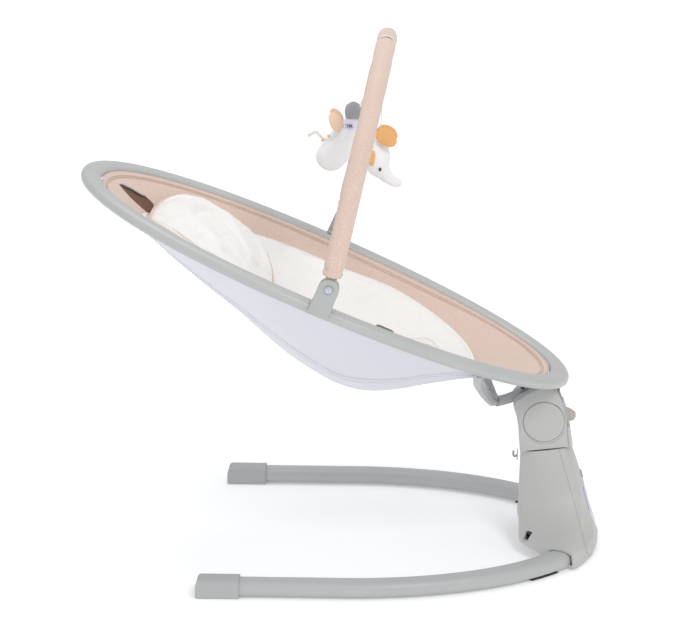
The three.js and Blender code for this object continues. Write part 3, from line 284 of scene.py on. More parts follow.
FINISH = {
    "frame": painted_metal("frame_grey", rgb(182, 183, 182)),
    "cap": plastic("cap_grey", rgb(176, 177, 176), 0.5),
    "rubber": rubber("rubber_black", rgb(70, 70, 71)),
    "housing": plastic("housing_grey", rgb(188, 188, 185), 0.46),
    # The arm's plastic is the housing grey made darker: painted shade for the arm sitting in shadow between
    # the head's cheeks.
    "dark_housing": plastic("arm_grey_painted_shade", rgb(158, 156, 157), 0.48),
    "button": plastic("button_grey", rgb(186, 181, 173), 0.45),
    "panel": gloss("panel_gloss", rgb(96, 92, 158)),
    "board": circuit_board("circuit_green"),
    "black": plastic("inner_black", rgb(38, 38, 40), 0.5),
    "nylon": plastic("nylon_natural", rgb(218, 214, 202), 0.4),
    "steel": bare_metal("zinc_steel", rgb(196, 202, 210), 0.28),
    "brass": bare_metal("sintered_brass", rgb(196, 160, 98), 0.35),
    "shell_fabric": woven("shell_cloth", rgb(221, 221, 229), 0.9, 0.03, 0.00015, 0.3, 0.0008, 0.8),
    "liner_fabric": woven("liner_cloth", rgb(221, 197, 183), 1.2, 0.13),
    "pad_fabric": plush("pad_minky", rgb(240, 238, 235), 0.0004),
    "toy_fabric": plush("toy_plush", rgb(240, 239, 240)),
    "strap_webbing": webbing("strap_tape", rgb(210, 190, 176)),
    "buckle": plastic("buckle_grey", rgb(92, 92, 94), 0.5),
}
LOOKS = {
    "peach_plush": plush("peach_plush", rgb(238, 205, 178)),
    "lilac_plush": plush("lilac_plush", rgb(228, 226, 243)),
    "orange_plush": plush("orange_plush", rgb(233, 176, 112)),
    "grey_plush": plush("grey_plush", rgb(158, 160, 166), 0.001),
    "thread": woven("thread", rgb(205, 183, 168), 0.5, 0.1, 0.0001),
    "white_thread": woven("white_thread", rgb(214, 214, 224), 0.5, 0.05, 0.0001),
    "dark_thread": woven("dark_thread", rgb(70, 70, 92), 0.5, 0.1, 0.0001),
    # Dark brown cloth for the head opening's sheet: painted shade for the gap behind the pad's head end.
    "shadow_brown": woven("painted_shadow_cloth", rgb(112, 74, 52), 0.8, 0.2, 0.0002, 0.1),
    "zip_tape": woven("zip_tape", rgb(150, 146, 168), 0.6, 0.25, 0.0002, 0.1),
    "bead": gloss("black_bead", rgb(24, 24, 26)),
    "ribbon": webbing("white_ribbon", rgb(238, 234, 230)),
}


# ---------------------------------------------------------------- meshes
def stations(rows):
    """A smooth curve through a table of key and value, as a function of numpy arrays."""
    keys, values = np.array(rows, float).T
    slopes = np.gradient(values, keys)
    slopes[1:-1] = (values[2:] - values[:-2]) / (keys[2:] - keys[:-2])

    def at(key):
        key = np.clip(key, keys[0], keys[-1])
        i = np.clip(np.searchsorted(keys, key) - 1, 0, len(keys) - 2)
        span = keys[i + 1] - keys[i]
        t = (key - keys[i]) / span
        rise = (2 * t**3 - 3 * t**2 + 1) * values[i] + (3 * t**2 - 2 * t**3) * values[i + 1]
        return rise + span * ((t**3 - 2 * t**2 + t) * slopes[i] + (t**3 - t**2) * slopes[i + 1])

    return at


def piece(name, points, faces, body, slot, look=None, replaces=(), smooth=True):
    """A mesh piece from points in millimetres."""
    data = bpy.data.meshes.new(name)
    data.from_pydata((np.asarray(points, float).reshape(-1, 3) * MM).tolist(), [], faces)
    data.validate()
    data.polygons.foreach_set("use_smooth", [smooth] * len(data.polygons))
    data.materials.append(LOOKS[look] if look else FINISH[slot])
    made = bpy.data.objects.new(name, data)
    bpy.context.scene.collection.objects.link(made)
    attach(made, body)
    if replaces:
        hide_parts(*replaces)
    return made


def grid_faces(rows, columns, wrap_rows=False, wrap_columns=False, start=0):
    """Quads over a grid of points, row by row."""
    faces = []
    for i in range(rows if wrap_rows else rows - 1):
        for j in range(columns if wrap_columns else columns - 1):
            k, m = (i + 1) % rows, (j + 1) % columns
            row, below = start + i * columns, start + k * columns
            faces.append([row + j, row + m, below + m, below + j])
    return faces


def dish(name, profile, body, slot, **options):
    """A closed body from rings of points, one inside the other, with a fan at each end."""
    profile = np.asarray(profile, float)
    rows, columns = profile.shape[:2]
    faces = grid_faces(rows, columns, wrap_columns=True)
    points = [*profile.reshape(-1, 3), profile[0].mean(0), profile[-1].mean(0)]
    first, last = rows * columns, rows * columns + 1
    for j in range(columns):
        k = (j + 1) % columns
        faces.append([first, k, j])
        faces.append([last, (rows - 1) * columns + j, (rows - 1) * columns + k])
    return piece(name, points, faces, body, slot, **options)


def frames_along(path, up):
    """Tangent, side and top directions at each point of a path."""
    path = np.asarray(path, float)
    tangent = np.gradient(path, axis=0)
    tangent /= np.linalg.norm(tangent, axis=1)[:, None]
    up = np.broadcast_to(np.asarray(up, float), path.shape)
    side = np.cross(tangent, up)
    side /= np.linalg.norm(side, axis=1)[:, None]
    return tangent, side, np.cross(side, tangent)


def sweep(name, path, section, up, body, slot, scale=None, **options):
    """A section, as points of (side, top), carried along a path, with rounded-off ends."""
    path = np.asarray(path, float)
    _, side, top = frames_along(path, up)
    scale = np.ones(len(path)) if scale is None else scale
    section = np.asarray(section, float)
    across = section[None, :, 0, None] * side[:, None] + section[None, :, 1, None] * top[:, None]
    return dish(name, path[:, None] + scale[:, None, None] * across, body, slot, **options)


def oval(wide, high, count=32, power=2.0):
    """A superellipse section."""
    a = np.linspace(0, math.tau, count, endpoint=False)
    across, up = signed_power(np.cos(a), 2 / power), signed_power(np.sin(a), 2 / power)
    return np.stack([wide / 2 * across, high / 2 * up], 1)


def smooth_path(points, count):
    """A Catmull-Rom curve through points, resampled evenly."""
    points = np.asarray(points, float)
    steps = np.concatenate([[0], np.cumsum(np.linalg.norm(np.diff(points, axis=0), axis=1))])
    fine = np.linspace(0, steps[-1], count)
    return np.stack([stations(np.stack([steps, points[:, k]], 1))(fine) for k in range(3)], 1)


def wobble(points, scale, seed):
    """Noise at each point, from about -1 to 1, at a size of about scale millimetres."""
    flat = np.asarray(points, float).reshape(-1, 3) / np.asarray(scale, float)
    values = [noise.noise(Vector(p) + Vector((seed, 2.3 * seed, 0.7 * seed))) for p in flat]
    return np.array(values).reshape(np.asarray(points).shape[:-1])


def ridge(value, width):
    """A smooth bump, 1 at 0, falling away over width."""
    return np.exp(-((value / width) ** 2))


def add_modifier(made, kind, **settings):
    modifier = made.modifiers.new(kind.lower(), kind)
    for key, value in settings.items():
        setattr(modifier, key, value)
    return modifier


def stitches(name, path, out, body, slot, look, length=3.2, gap=1.4, radius=0.45):
    """A row of stitches along a path: short threads that dip into the cloth at both ends."""
    path, out = np.asarray(path, float), np.asarray(out, float)
    steps = np.concatenate([[0], np.cumsum(np.linalg.norm(np.diff(path, axis=0), axis=1))])
    at = lambda s, table: np.stack([np.interp(s, steps, table[:, k]) for k in range(3)], -1)
    points, faces = [], []
    for start in np.arange(gap, steps[-1] - length, length + gap):
        share = np.linspace(0, 1, 5)
        middle = at(start + share * length, path)
        normal = at(start + share * length, out)
        normal /= np.linalg.norm(normal, axis=1)[:, None]
        middle = middle + normal * (np.sin(math.pi * share)[:, None] * 1.6 * radius - 0.5 * radius)
        tangent = np.gradient(middle, axis=0)
        tangent /= np.linalg.norm(tangent, axis=1)[:, None]
        side = np.cross(tangent, normal)
        first = len(points)
        for m, s, n in zip(middle, side, normal):
            for a in range(5):
                turn = math.tau * a / 5
                points.append(m + radius * (math.cos(turn) * s + math.sin(turn) * n))
        faces += grid_faces(5, 5, wrap_columns=True, start=first)
        faces += [[first + a for a in range(5)], [first + 20 + a for a in range(5)][::-1]]
    return piece(name, points, faces, body, slot, look=look)


# ---------------------------------------------------------------- places
def signed_power(value, power):
    """The value's size to a power, with its sign kept."""
    return np.sign(value) * np.abs(value) ** power


def from_ring(u, v, w):
    """A place in the ring's own frame as a place in the row frame."""
    u, v, w = np.broadcast_arrays(*(np.asarray(c, float) for c in (u, v, w)))
    c, s = math.cos(RING["tilt"]), math.sin(RING["tilt"])
    return np.stack([RING["x"] + u * c + w * s, v, RING["z"] - u * s + w * c], -1)


RING_UP = from_ring(0, 0, 1) - from_ring(0, 0, 0)


def ring_point(angle, inset=0.0):
    """u and v of the ring's centreline, or of a line inset from it."""
    power = 2 / RING["power"]
    u = (RING["length"] - inset) * signed_power(np.cos(angle), power)
    v = (RING["width"] - inset) * signed_power(np.sin(angle), power) * (1 + RING["egg"] * u / RING["length"])
    return u, v


bowl_depth = stations(BOWL)


def edge_width(u):
    """Half width of the bowl's rim at u."""
    reach = (RING["length"] - RIM_INSET) * 1.0001
    wide = np.maximum(0, 1 - np.minimum(1, np.abs(u) / reach) ** RING["power"]) ** (1 / RING["power"])
    return (RING["width"] - RIM_INSET) * wide * (1 + RING["egg"] * u / RING["length"])


def bowl_share(u, v):
    """How far out a place in the bowl is, from 0 on the middle line to 1 at the rim."""
    return np.minimum(1, np.abs(v) / np.maximum(edge_width(u), 1))


def bowl_height(u, v):
    return -bowl_depth(u) * (1 - bowl_share(u, v) ** BOWL_SAG) - 1


def fullness(shape, u, v):
    along = (np.abs(u - shape["u"]) / shape["length"]) ** shape["power"]
    across = (np.abs(v) / shape["width"]) ** shape["power"]
    return 1 - np.minimum(1, along + across) ** 2


def pad_top(u, v):
    return bowl_height(u, v) + PAD_LIFT + 4 + (PAD["thick"] - 4) * fullness(PAD, u, v / PAD_TAPER(u))


PAD_TAPER = stations([
    [-314, 0.32], [-290, 0.4], [-250, 0.66], [-134, 0.87], [-82, 0.92], [-16, 0.95], [20, 0.955], [100, 0.99],
    [160, 1], [300, 1],
])


def cushion_point(shape, angle, reach):
    power = 2 / shape["power"]
    u = shape["u"] + shape["length"] * reach * signed_power(np.cos(angle), power)
    v = shape["width"] * reach * signed_power(np.sin(angle), power)
    return u, v * PAD_TAPER(u) if shape is PAD else v


def bar_point(angle):
    """A point of the toy bar's arch; angle runs from 0 at one foot to pi at the other."""
    power = 2 / BAR["power"]
    y = BAR["half"] * signed_power(np.cos(angle), power)
    rise = BAR["high"] * signed_power(np.sin(angle), power)
    x, z = BAR["x"] + rise * math.sin(BAR["tilt"]), BAR["z"] + rise * math.cos(BAR["tilt"])
    return np.stack([x, y, z], -1)


# ---------------------------------------------------------------- camera, light, floor
def camera():
    data = bpy.data.cameras.new("camera")
    data.lens, data.sensor_width = 146.48, 36
    data.clip_start, data.clip_end = 0.1, 50
    made = bpy.data.objects.new("camera", data)
    made.location = (0.1709, -4.0839, 1.3323)
    made.rotation_euler = (math.pi / 2 - 0.2356, 0, 0.0432)
    bpy.context.scene.collection.objects.link(made)
    bpy.context.scene.camera = made


def softbox(name, place, towards, size, power):
    data = bpy.data.lights.new(name, "AREA")
    data.shape, data.size, data.energy = "DISK", size, power
    made = bpy.data.objects.new(name, data)
    made.location = place
    made.rotation_euler = (Vector(towards) - Vector(place)).to_track_quat("-Z", "Y").to_euler()
    bpy.context.scene.collection.objects.link(made)


def studio():
    world = bpy.data.worlds.new("studio")
    world.use_nodes = True
    world.node_tree.nodes["Background"].inputs["Color"].default_value = (0.97, 0.98, 1.0, 1)
    world.node_tree.nodes["Background"].inputs["Strength"].default_value = 0.64
    bpy.context.scene.world = world
    bpy.context.scene.view_settings.view_transform = "Standard"
    middle = (0, 0, 0.35)
    softbox("key", (1.3, -2.6, 2.7), middle, 1.2, 39)
    softbox("fill", (-2.6, -1.8, 1.4), middle, 2.0, 8)
    softbox("top", (-0.3, 0.5, 3.0), middle, 1.8, 20)
    bpy.ops.mesh.primitive_plane_add(size=40, location=(0, 0, -0.0004))
    floor = bpy.context.object
    floor.name = "floor"
    paper = Nodes("floor_paper", rgb(250, 250, 250), 0.7)
    paper.shader.inputs["Emission Color"].default_value = (1, 1, 1, 1)
    split = paper.tree.nodes.new("ShaderNodeSeparateXYZ")
    paper.link(paper.place, split.inputs["Vector"])
    glow = paper.tree.nodes.new("ShaderNodeMapRange")
    paper.link(split.outputs["Y"], glow.inputs["Value"])
    for key, value in {"From Min": 0.3, "From Max": 4.0, "To Min": 0.2, "To Max": 0.5}.items():
        glow.inputs[key].default_value = value
    paper.link(glow.outputs["Result"], paper.shader.inputs["Emission Strength"])
    paper.roughness(paper.ramp(paper.noise(6, 2), 0.3, 0.7, 0.65, 0.75))
    floor.data.materials.append(paper.material)


# ---------------------------------------------------------------- carried-over parts
def finish_carried():
    """Smooth shading, small edge radii and a material on every node that stays as it is."""
    slots = {part["node"]: part["material_slot"] for part in frame["record"]["subparts"]}
    for name, made in NODES.items():
        if made.hide_render:
            continue
        data = made.data
        if "custom_normal" in data.attributes:
            data.attributes.remove(data.attributes["custom_normal"])
        data.polygons.foreach_set("use_smooth", [True] * len(data.polygons))
        data.materials.clear()
        data.materials.append(FINISH[slots[name]])
        add_modifier(made, "WELD", merge_threshold=0.00002)
        low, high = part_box(name)
        small = min(high - low)
        radius = min(0.0009, 0.06 * small)
        add_modifier(
            made, "BEVEL", width=radius, segments=2, limit_method="ANGLE", angle_limit=math.radians(33),
            harden_normals=True, use_clamp_overlap=True,
        )


# ---------------------------------------------------------------- frame tubes
def ring_half(name, start, end):
    angle = np.linspace(start, end, 150)
    u, v = ring_point(angle)
    path = from_ring(u, v, np.zeros_like(u))
    up = RING_UP
    section = oval(2 * RING["wide"], 2 * RING["thick"], 36, 2.35)
    sweep(name + "_tube", path, section, up, "seat", "frame", replaces=[name])


def leg(name, side):
    last = math.acos(LEG["end_y"] / LEG["y"])
    along = np.linspace(LEG["front"] + 4, LEG["bend_x"], 20, endpoint=False)
    straight = np.stack([along, np.full(20, LEG["y"])], 1)
    angle = np.linspace(0, last, 70)
    bend = np.stack([LEG["bend_x"] + LEG["bend"] * np.sin(angle), LEG["y"] * np.cos(angle)], 1)
    flat = np.concatenate([straight, bend])
    path = np.stack([flat[:, 0], side * flat[:, 1], np.full(len(flat), LEG["bottom"] + LEG["high"] / 2)], 1)
    section = oval(LEG["wide"], LEG["high"], 36, 3.0)
    sweep(name.replace("_tube", "_leg"), path, section, (0, 0, 1), "base", "frame", replaces=[name])


camera()
studio()


# ---------------------------------------------------------------- covers
BOWL_AROUND = 220
BOWL_RINGS = 56


def bowl_grid(lift, edge=1.0):
    """Angles, reaches and ring-frame places of a layer of the bowl, from the middle outwards."""
    reach = np.linspace(0.004, edge, BOWL_RINGS) ** 0.8
    angle = np.linspace(0, math.tau, BOWL_AROUND, endpoint=False)
    rim_u, rim_v = ring_point(angle, RIM_INSET)
    u, v = reach[:, None] * rim_u, reach[:, None] * rim_v
    return reach[:, None], u, v, bowl_height(u, v) + lift


def bowl_cloth(name, lift, thick, relief, slot, node, edge=1.0):
    """One layer of the bowl; relief gives how far each point stands out, as a function of u, v and reach."""
    reach, u, v, w = bowl_grid(lift, edge)
    out = relief(u, v, np.broadcast_to(reach, u.shape))
    under = from_ring(u, v, w + out)
    over = from_ring(u, v, w + thick + out)
    return dish(name, [*under, *over[::-1]], "seat", slot, replaces=[node])


SHELL_SEAM = stations([
    [-368, 0.42], [-200, 0.47], [0, 0.52], [80, 0.54], [160, 0.66], [260, 0.78], [368, 0.8],
])
SHELL_FADE = stations([[-368, 0], [-320, 0.3], [-240, 1], [120, 1], [250, 0.8], [368, 0]])


def shell_relief(u, v, reach):
    """The hanging cloth: a felled seam each side, long drag folds low down and puckers at the rim."""
    share = bowl_share(u, v)
    places = np.stack([u, v, 0 * u], -1)
    fade = SHELL_FADE(u) * ridge(reach, 1.1) * (1 - np.clip((reach - 0.93) / 0.07, 0, 1))
    folds = wobble(places, (190, 21, 30), 3.1) * 4.2 * ridge(share - 0.22, 0.3)
    drag = wobble(places, (130, 34, 30), 5.7) * 3.4
    fine = wobble(places, (34, 16, 20), 9.2) * 0.6
    beyond = share - SHELL_SEAM(u)
    seam = 2.2 * ridge(beyond, 0.022) - 0.9 * ridge(beyond - 0.035, 0.014)
    hanging = np.minimum(fade * (folds + drag + fine) - seam * SHELL_FADE(u), 0.9)
    return hanging + np.minimum(liner_relief(u, v, reach), 0)


# Short creases under the far rim: where along the seat, how far they lean, and how deep.
LINER_CREASES = ((-34, 60, -3.2), (72, -70, -3.6))


def liner_relief(u, v, reach):
    """The liner: a stitched band inside the ring and small puckers that run down from it."""
    angle = np.arctan2(v * RING["length"] / RING["width"], u)
    places = np.stack([angle * 260, reach * 40, 0 * u], -1)
    near_rim = ridge(reach - 0.86, 0.1)
    puckers = wobble(places, (17, 60, 10), 4.4) * 1.3 * near_rim
    waves = wobble(places, (46, 30, 10), 6.1) * 2.3 * ridge(reach - 0.78, 0.2)
    waves = waves * (1 - ridge(u + 310, 70))
    seam = -1.3 * ridge(reach - 0.974, 0.005)
    creases = sum(depth * ridge(u - at - lean * (reach - 0.9), 3.0) for at, lean, depth in LINER_CREASES)
    creases = creases * ridge(reach - 0.9, 0.06) * (v > 0)
    mid_fold = 1.6 * ridge(u - 25, 9) * np.clip((reach - 0.6) * 4, 0, 1) * (v > 0)
    return (puckers + waves + mid_fold + creases) * (1 - np.clip((reach - 0.95) / 0.05, 0, 1)) + seam


def head_opening():
    """The opening behind the pad's head end as a dark brown sheet of painted shade, with its zip tape and
    teeth.
    """
    up = RING_UP
    share = np.linspace(0, 1, 40)
    far_edge = smooth_path([
        (-342, 38, 0), (-325, 56.5, 0), (-308, 69, 0), (-295, 79.5, 0), (-284, 79, 0),
    ], 40)
    near_edge = smooth_path([
        (-342, 35, 0), (-320, 30, 0), (-300, 33.5, 0), (-285, 37.5, 0), (-273, 42, 0),
    ], 40)
    across = np.linspace(0, 1, 14)[:, None, None]
    flat = far_edge[None] * (1 - across) + near_edge[None] * across
    u, v = flat[..., 0], flat[..., 1]
    sunk = 0.7 - 0.5 * np.sin(math.pi * across[..., 0]) * np.sin(math.pi * share)[None]
    w = bowl_height(u, v) + LINER_LIFT + 1.6 + sunk
    over, under = from_ring(u, v, w), from_ring(u, v, w - 0.5)
    rows, columns = u.shape
    faces = grid_faces(rows, columns) + [f[::-1] for f in grid_faces(rows, columns, start=rows * columns)]
    border = [i * columns for i in range(rows)] + list(range((rows - 1) * columns + 1, rows * columns))
    border += [i * columns + columns - 1 for i in range(rows - 2, -1, -1)] + list(range(columns - 2, 0, -1))
    faces += [[a, b, b + rows * columns, a + rows * columns] for a, b in zip(border, border[1:] + border[:1])]
    points = [*over.reshape(-1, 3), *under.reshape(-1, 3)]
    # A dark brown sheet just above the liner: painted shade standing in for the gap behind the pad's head
    # end.
    piece("opening_shadow_sheet", points, faces, "seat", "liner_fabric", look="shadow_brown")
    edge = far_edge[2:-8]
    rim = from_ring(edge[:, 0], edge[:, 1], bowl_height(edge[:, 0], edge[:, 1]) + LINER_LIFT + 3.0)
    taper = np.sin(math.pi * np.linspace(0.06, 0.94, len(rim))) ** 0.4
    sweep(
        "opening_zip_tape", rim, oval(8, 1.6, 20, 3), up, "seat", "liner_fabric",
        scale=taper, look="zip_tape",
    )
    teeth = rim + 1.1 * up
    stitches(
        "opening_zip_teeth", teeth, np.broadcast_to(up, rim.shape), "seat", "liner_fabric", "white_thread",
        length=1.6, gap=1.0, radius=0.8,
    )


def covers():
    shell = bowl_cloth("hanging_shell", 0, 1.0, shell_relief, "shell_fabric", "seat_shell_fabric")
    liner = bowl_cloth("rim_cover", LINER_LIFT, 1.6, liner_relief, "liner_fabric", "rim_liner")
    angle = np.linspace(0, math.tau, 700)
    rim_u, rim_v = ring_point(angle, RIM_INSET)
    for row, (reach, lift) in enumerate([(0.978, 1.9), (0.970, 1.7)]):
        u, v = rim_u * reach, rim_v * reach
        path = from_ring(u, v, bowl_height(u, v) + LINER_LIFT + lift)
        out = np.broadcast_to(RING_UP, path.shape)
        stitches(f"rim_stitches_{row + 1}", path, out, "seat", "liner_fabric", "thread")
    head_opening()
    for side, hand in ((-1, "right"), (1, "left")):
        u = np.linspace(-300, 325, 260)
        edge = edge_width(u)
        for row, shift in enumerate((-0.03, 0.075)):
            v = side * edge * (SHELL_SEAM(u) + shift * np.clip(60 / edge, 0.3, 1))
            w = bowl_height(u, v) + shell_relief(u, v, reach_of(u, v)) - 0.2
            down = from_ring(0, 0, 0) - from_ring(0, 0, 1)
            outward = down + side * np.array([0, 0.45, 0])
            path = from_ring(u, v, w)
            out = np.broadcast_to(outward, path.shape)
            stitches(f"{hand}_shell_stitches_{row + 1}", path, out, "seat", "shell_fabric", "white_thread")


def reach_of(u, v):
    """The share of the way out to the rim, along the line from the middle."""
    length, width, power = RING["length"] - RIM_INSET, RING["width"] - RIM_INSET, RING["power"]
    return ((np.abs(u) / length) ** power + (np.abs(v) / width) ** power) ** (1 / power)


# ---------------------------------------------------------------- stuffed pieces
def puff(made, pressure, slack, cap, frames=18):
    """Swells a stuffed piece as cloth with some slack; points in its group 'sewn' stay put."""
    scene = bpy.context.scene
    count = len(made.data.vertices)
    rest = np.empty(count * 3)
    made.data.vertices.foreach_get("co", rest)
    cloth = made.modifiers.new("cloth", "CLOTH")
    settings = cloth.settings
    settings.quality = 4
    settings.mass = 0.3
    settings.tension_stiffness = settings.compression_stiffness = 12
    settings.bending_stiffness = 0.15
    settings.use_pressure = True
    settings.uniform_pressure_force = pressure
    settings.shrink_min = -slack
    settings.vertex_group_mass = "sewn"
    settings.effector_weights.gravity = 0
    cloth.collision_settings.use_collision = False
    for step in range(1, frames + 1):
        scene.frame_set(step)
    swollen = made.evaluated_get(bpy.context.evaluated_depsgraph_get())
    moved = np.empty(count * 3)
    swollen.data.vertices.foreach_get("co", moved)
    made.modifiers.remove(cloth)
    scene.frame_set(1)
    shift = (moved - rest).reshape(-1, 3)
    length = np.linalg.norm(shift, axis=1)
    shift *= np.minimum(1, cap * MM / np.maximum(length, 1e-9))[:, None]
    made.data.vertices.foreach_set("co", rest + shift.ravel())
    made.data.update()


def sew(made, fixed):
    """Puts the points where fixed is true into the group that the swelling leaves alone."""
    group = made.vertex_groups.new(name="sewn")
    group.add([int(i) for i in np.nonzero(fixed)[0]], 1.0, "REPLACE")


def shift_points(made, amount):
    """Moves each point by amount, an array in millimetres."""
    count = len(made.data.vertices)
    places = np.empty(count * 3)
    made.data.vertices.foreach_get("co", places)
    made.data.vertices.foreach_set("co", places + (np.asarray(amount) * MM).ravel())
    made.data.update()


def points_of(made):
    places = np.empty(len(made.data.vertices) * 3)
    made.data.vertices.foreach_get("co", places)
    return places.reshape(-1, 3) / MM


def to_ring(points):
    """The inverse of from_ring."""
    x, z = points[..., 0] - RING["x"], points[..., 2] - RING["z"]
    c, s = math.cos(RING["tilt"]), math.sin(RING["tilt"])
    return x * c - z * s, points[..., 1], x * s + z * c


def cushion(name, shape, top_at, bottom_at, around, rings, body, slot, node, rim=0.5):
    """A crowned cushion: its top and bottom meet in a rounded edge."""
    angle = np.linspace(0, math.tau, around, endpoint=False)
    turn = np.linspace(0.03, math.pi - 0.03, rings)
    reach = np.sin(turn) ** 0.7
    share = 0.5 - 0.5 * np.cos(turn)
    rows = []
    for r, s in zip(reach, share):
        u, v = cushion_point(shape, angle, r)
        low, high = bottom_at(u, v), top_at(u, v)
        mix = np.clip((s - rim) / 0.12 * 0.5 + 0.5, 0, 1)
        rows.append(from_ring(u, v, low + (high - low) * mix))
    return dish(name, rows, body, slot, replaces=[node])


def seat_pad():
    """The white pad: thick in the middle, thin at its bound edge."""
    made = cushion(
        "soft_seat_pad", PAD, pad_top, lambda u, v: bowl_height(u, v) + PAD_LIFT + 0.4,
        150, 90, "seat", "pad_fabric", "seat_pad",
    )
    u, v, w = to_ring(points_of(made))
    full = fullness(PAD, u, v / PAD_TAPER(u))
    share = 1 - np.sqrt(1 - full)
    sew(made, (w < bowl_height(u, v) + PAD_LIFT + 1.5) | (share < 0.04))
    puff(made, 2.2, 0.035, 5)
    u, v, w = to_ring(points_of(made))
    above = w > bowl_height(u, v) + PAD_LIFT + 2
    places = np.stack([u, v, 0 * u], -1)
    folds = wobble(places, (60, 38, 30), 2.2) * 1.8 + wobble(places, (24, 17, 20), 8.3) * 0.7
    fold = -2.2 * ridge(u - 232 - 0.05 * v, 3.2)
    lift = np.where(above, (folds + fold) * np.clip(full * 2, 0, 1), 0)
    shift_points(made, lift[:, None] * (RING_UP))
    add_modifier(made, "SUBSURF", levels=1, render_levels=1)
    angle = np.linspace(0, math.tau, 500)
    u, v = cushion_point(PAD, angle, 1.0)
    path = from_ring(u, v, bowl_height(u, v) + PAD_LIFT + 2.2)
    up = RING_UP
    sweep("seat_pad_binding", path[:-1], oval(3.0, 3.4, 12), up, "seat", "pad_fabric")


def pillow_top(u, v):
    """A horseshoe bolster round a lower middle, open towards the feet."""
    full = fullness(PILLOW, u, v)
    along, across = np.abs((u - PILLOW["u"]) / PILLOW["length"]), np.abs(v / PILLOW["width"])
    reach = (along**2.4 + across**2.4) ** (1 / 2.4)
    towards_feet = np.clip((u - PILLOW["u"]) / PILLOW["length"], 0, 1)
    bolster = 6 * ridge(reach - 0.68, 0.2) * (1 - 0.6 * towards_feet)
    valley = -9 * ridge(reach - 0.44, 0.06) * (1 - 0.8 * towards_feet)
    towards_head = np.clip((PILLOW["u"] - u) / PILLOW["length"], 0, 1)
    crown = PILLOW["thick"] - 22 - 8 * towards_feet + 7 * towards_head
    return pad_top(u, v) + 14 + crown * full + (bolster + valley) * np.clip(full * 1.3, 0, 1)


def pillow_bottom(u, v):
    full = fullness(PILLOW, u, v)
    return pad_top(u, v) + 8 * (1 - full) - 5 * full


def head_pillow():
    made = cushion(
        "soft_head_pillow", PILLOW, pillow_top, pillow_bottom, 150, 80, "seat", "pad_fabric", "head_pillow",
    )
    u, v, w = to_ring(points_of(made))
    low = w < 0.5 * (pillow_top(u, v) + pillow_bottom(u, v))
    sew(made, low | (fullness(PILLOW, u, v) < 0.16))
    puff(made, 3.0, 0.04, 7)
    u, v, w = to_ring(points_of(made))
    top = (w > 0.5 * (pillow_top(u, v) + pillow_bottom(u, v))) * fullness(PILLOW, u, v)
    places = np.stack([u, v, 0 * u], -1)
    creases = wobble(places, (50, 30, 30), 7.7) * 1.6 + wobble(places, (18, 12, 20), 1.9) * 0.8
    shift_points(made, (top * creases)[:, None] * (RING_UP))
    add_modifier(made, "SUBSURF", levels=1, render_levels=1)
    angle = np.linspace(0, math.tau, 400)[:-1]
    u, v = cushion_point(PILLOW, angle, 1.012)
    middle = 0.5 * (pillow_top(u, v) + pillow_bottom(u, v)) - 1
    up = RING_UP
    sweep("pillow_piping", from_ring(u, v, middle), oval(6.4, 6.4, 14), up, "seat", "liner_fabric")


def crotch_tab():
    path = np.array([
        [214, -54], [204, -45], [192, -38], [181, -37], [168, -43], [154, -50], [143, -53], [133, -53],
    ], float)
    line = smooth_path(np.stack([path[:, 0], 0 * path[:, 0], path[:, 1]], 1), 46)
    world = from_ring(line[:, 0], line[:, 1], line[:, 2])
    taper = np.interp(np.linspace(0, 1, 46), [0, 0.1, 0.9, 1], [0.9, 1, 1, 0.75])
    made = sweep(
        "crotch_tab", world, oval(36, 6.5, 40, 3.2), (0.3, 0, 1), "seat", "pad_fabric",
        scale=taper, replaces=["crotch_strap"],
    )
    for side, hand in ((-1, "right"), (1, "left")):
        edge = from_ring(line[:, 0], line[:, 1] + side * 18.2 * taper, line[:, 2] + 0.8)
        sweep(f"crotch_binding_{hand}", edge, oval(2.4, 3.6, 14), (0.3, 0, 1), "seat", "liner_fabric")


def waist_strap(side, hand):
    start_u, start_v = 80, 92
    points = np.array([
        [start_u, side * start_v, float(pad_top(np.array(80.0), np.array(92.0))) + 4],
        [92, side * 74, float(pad_top(np.array(92.0), np.array(74.0))) + 6],
        [106, side * 46, BUCKLE["w"] - 14],
        [BUCKLE["u"], side * 27, BUCKLE["w"]],
    ])
    line = smooth_path(points, 40)
    world = from_ring(line[:, 0], line[:, 1], line[:, 2])
    made = sweep(
        f"{hand}_waist_webbing", world, oval(24, 2.2, 36, 4), RING_UP, "seat",
        "strap_webbing", replaces=[f"{hand}_waist_strap"],
    )


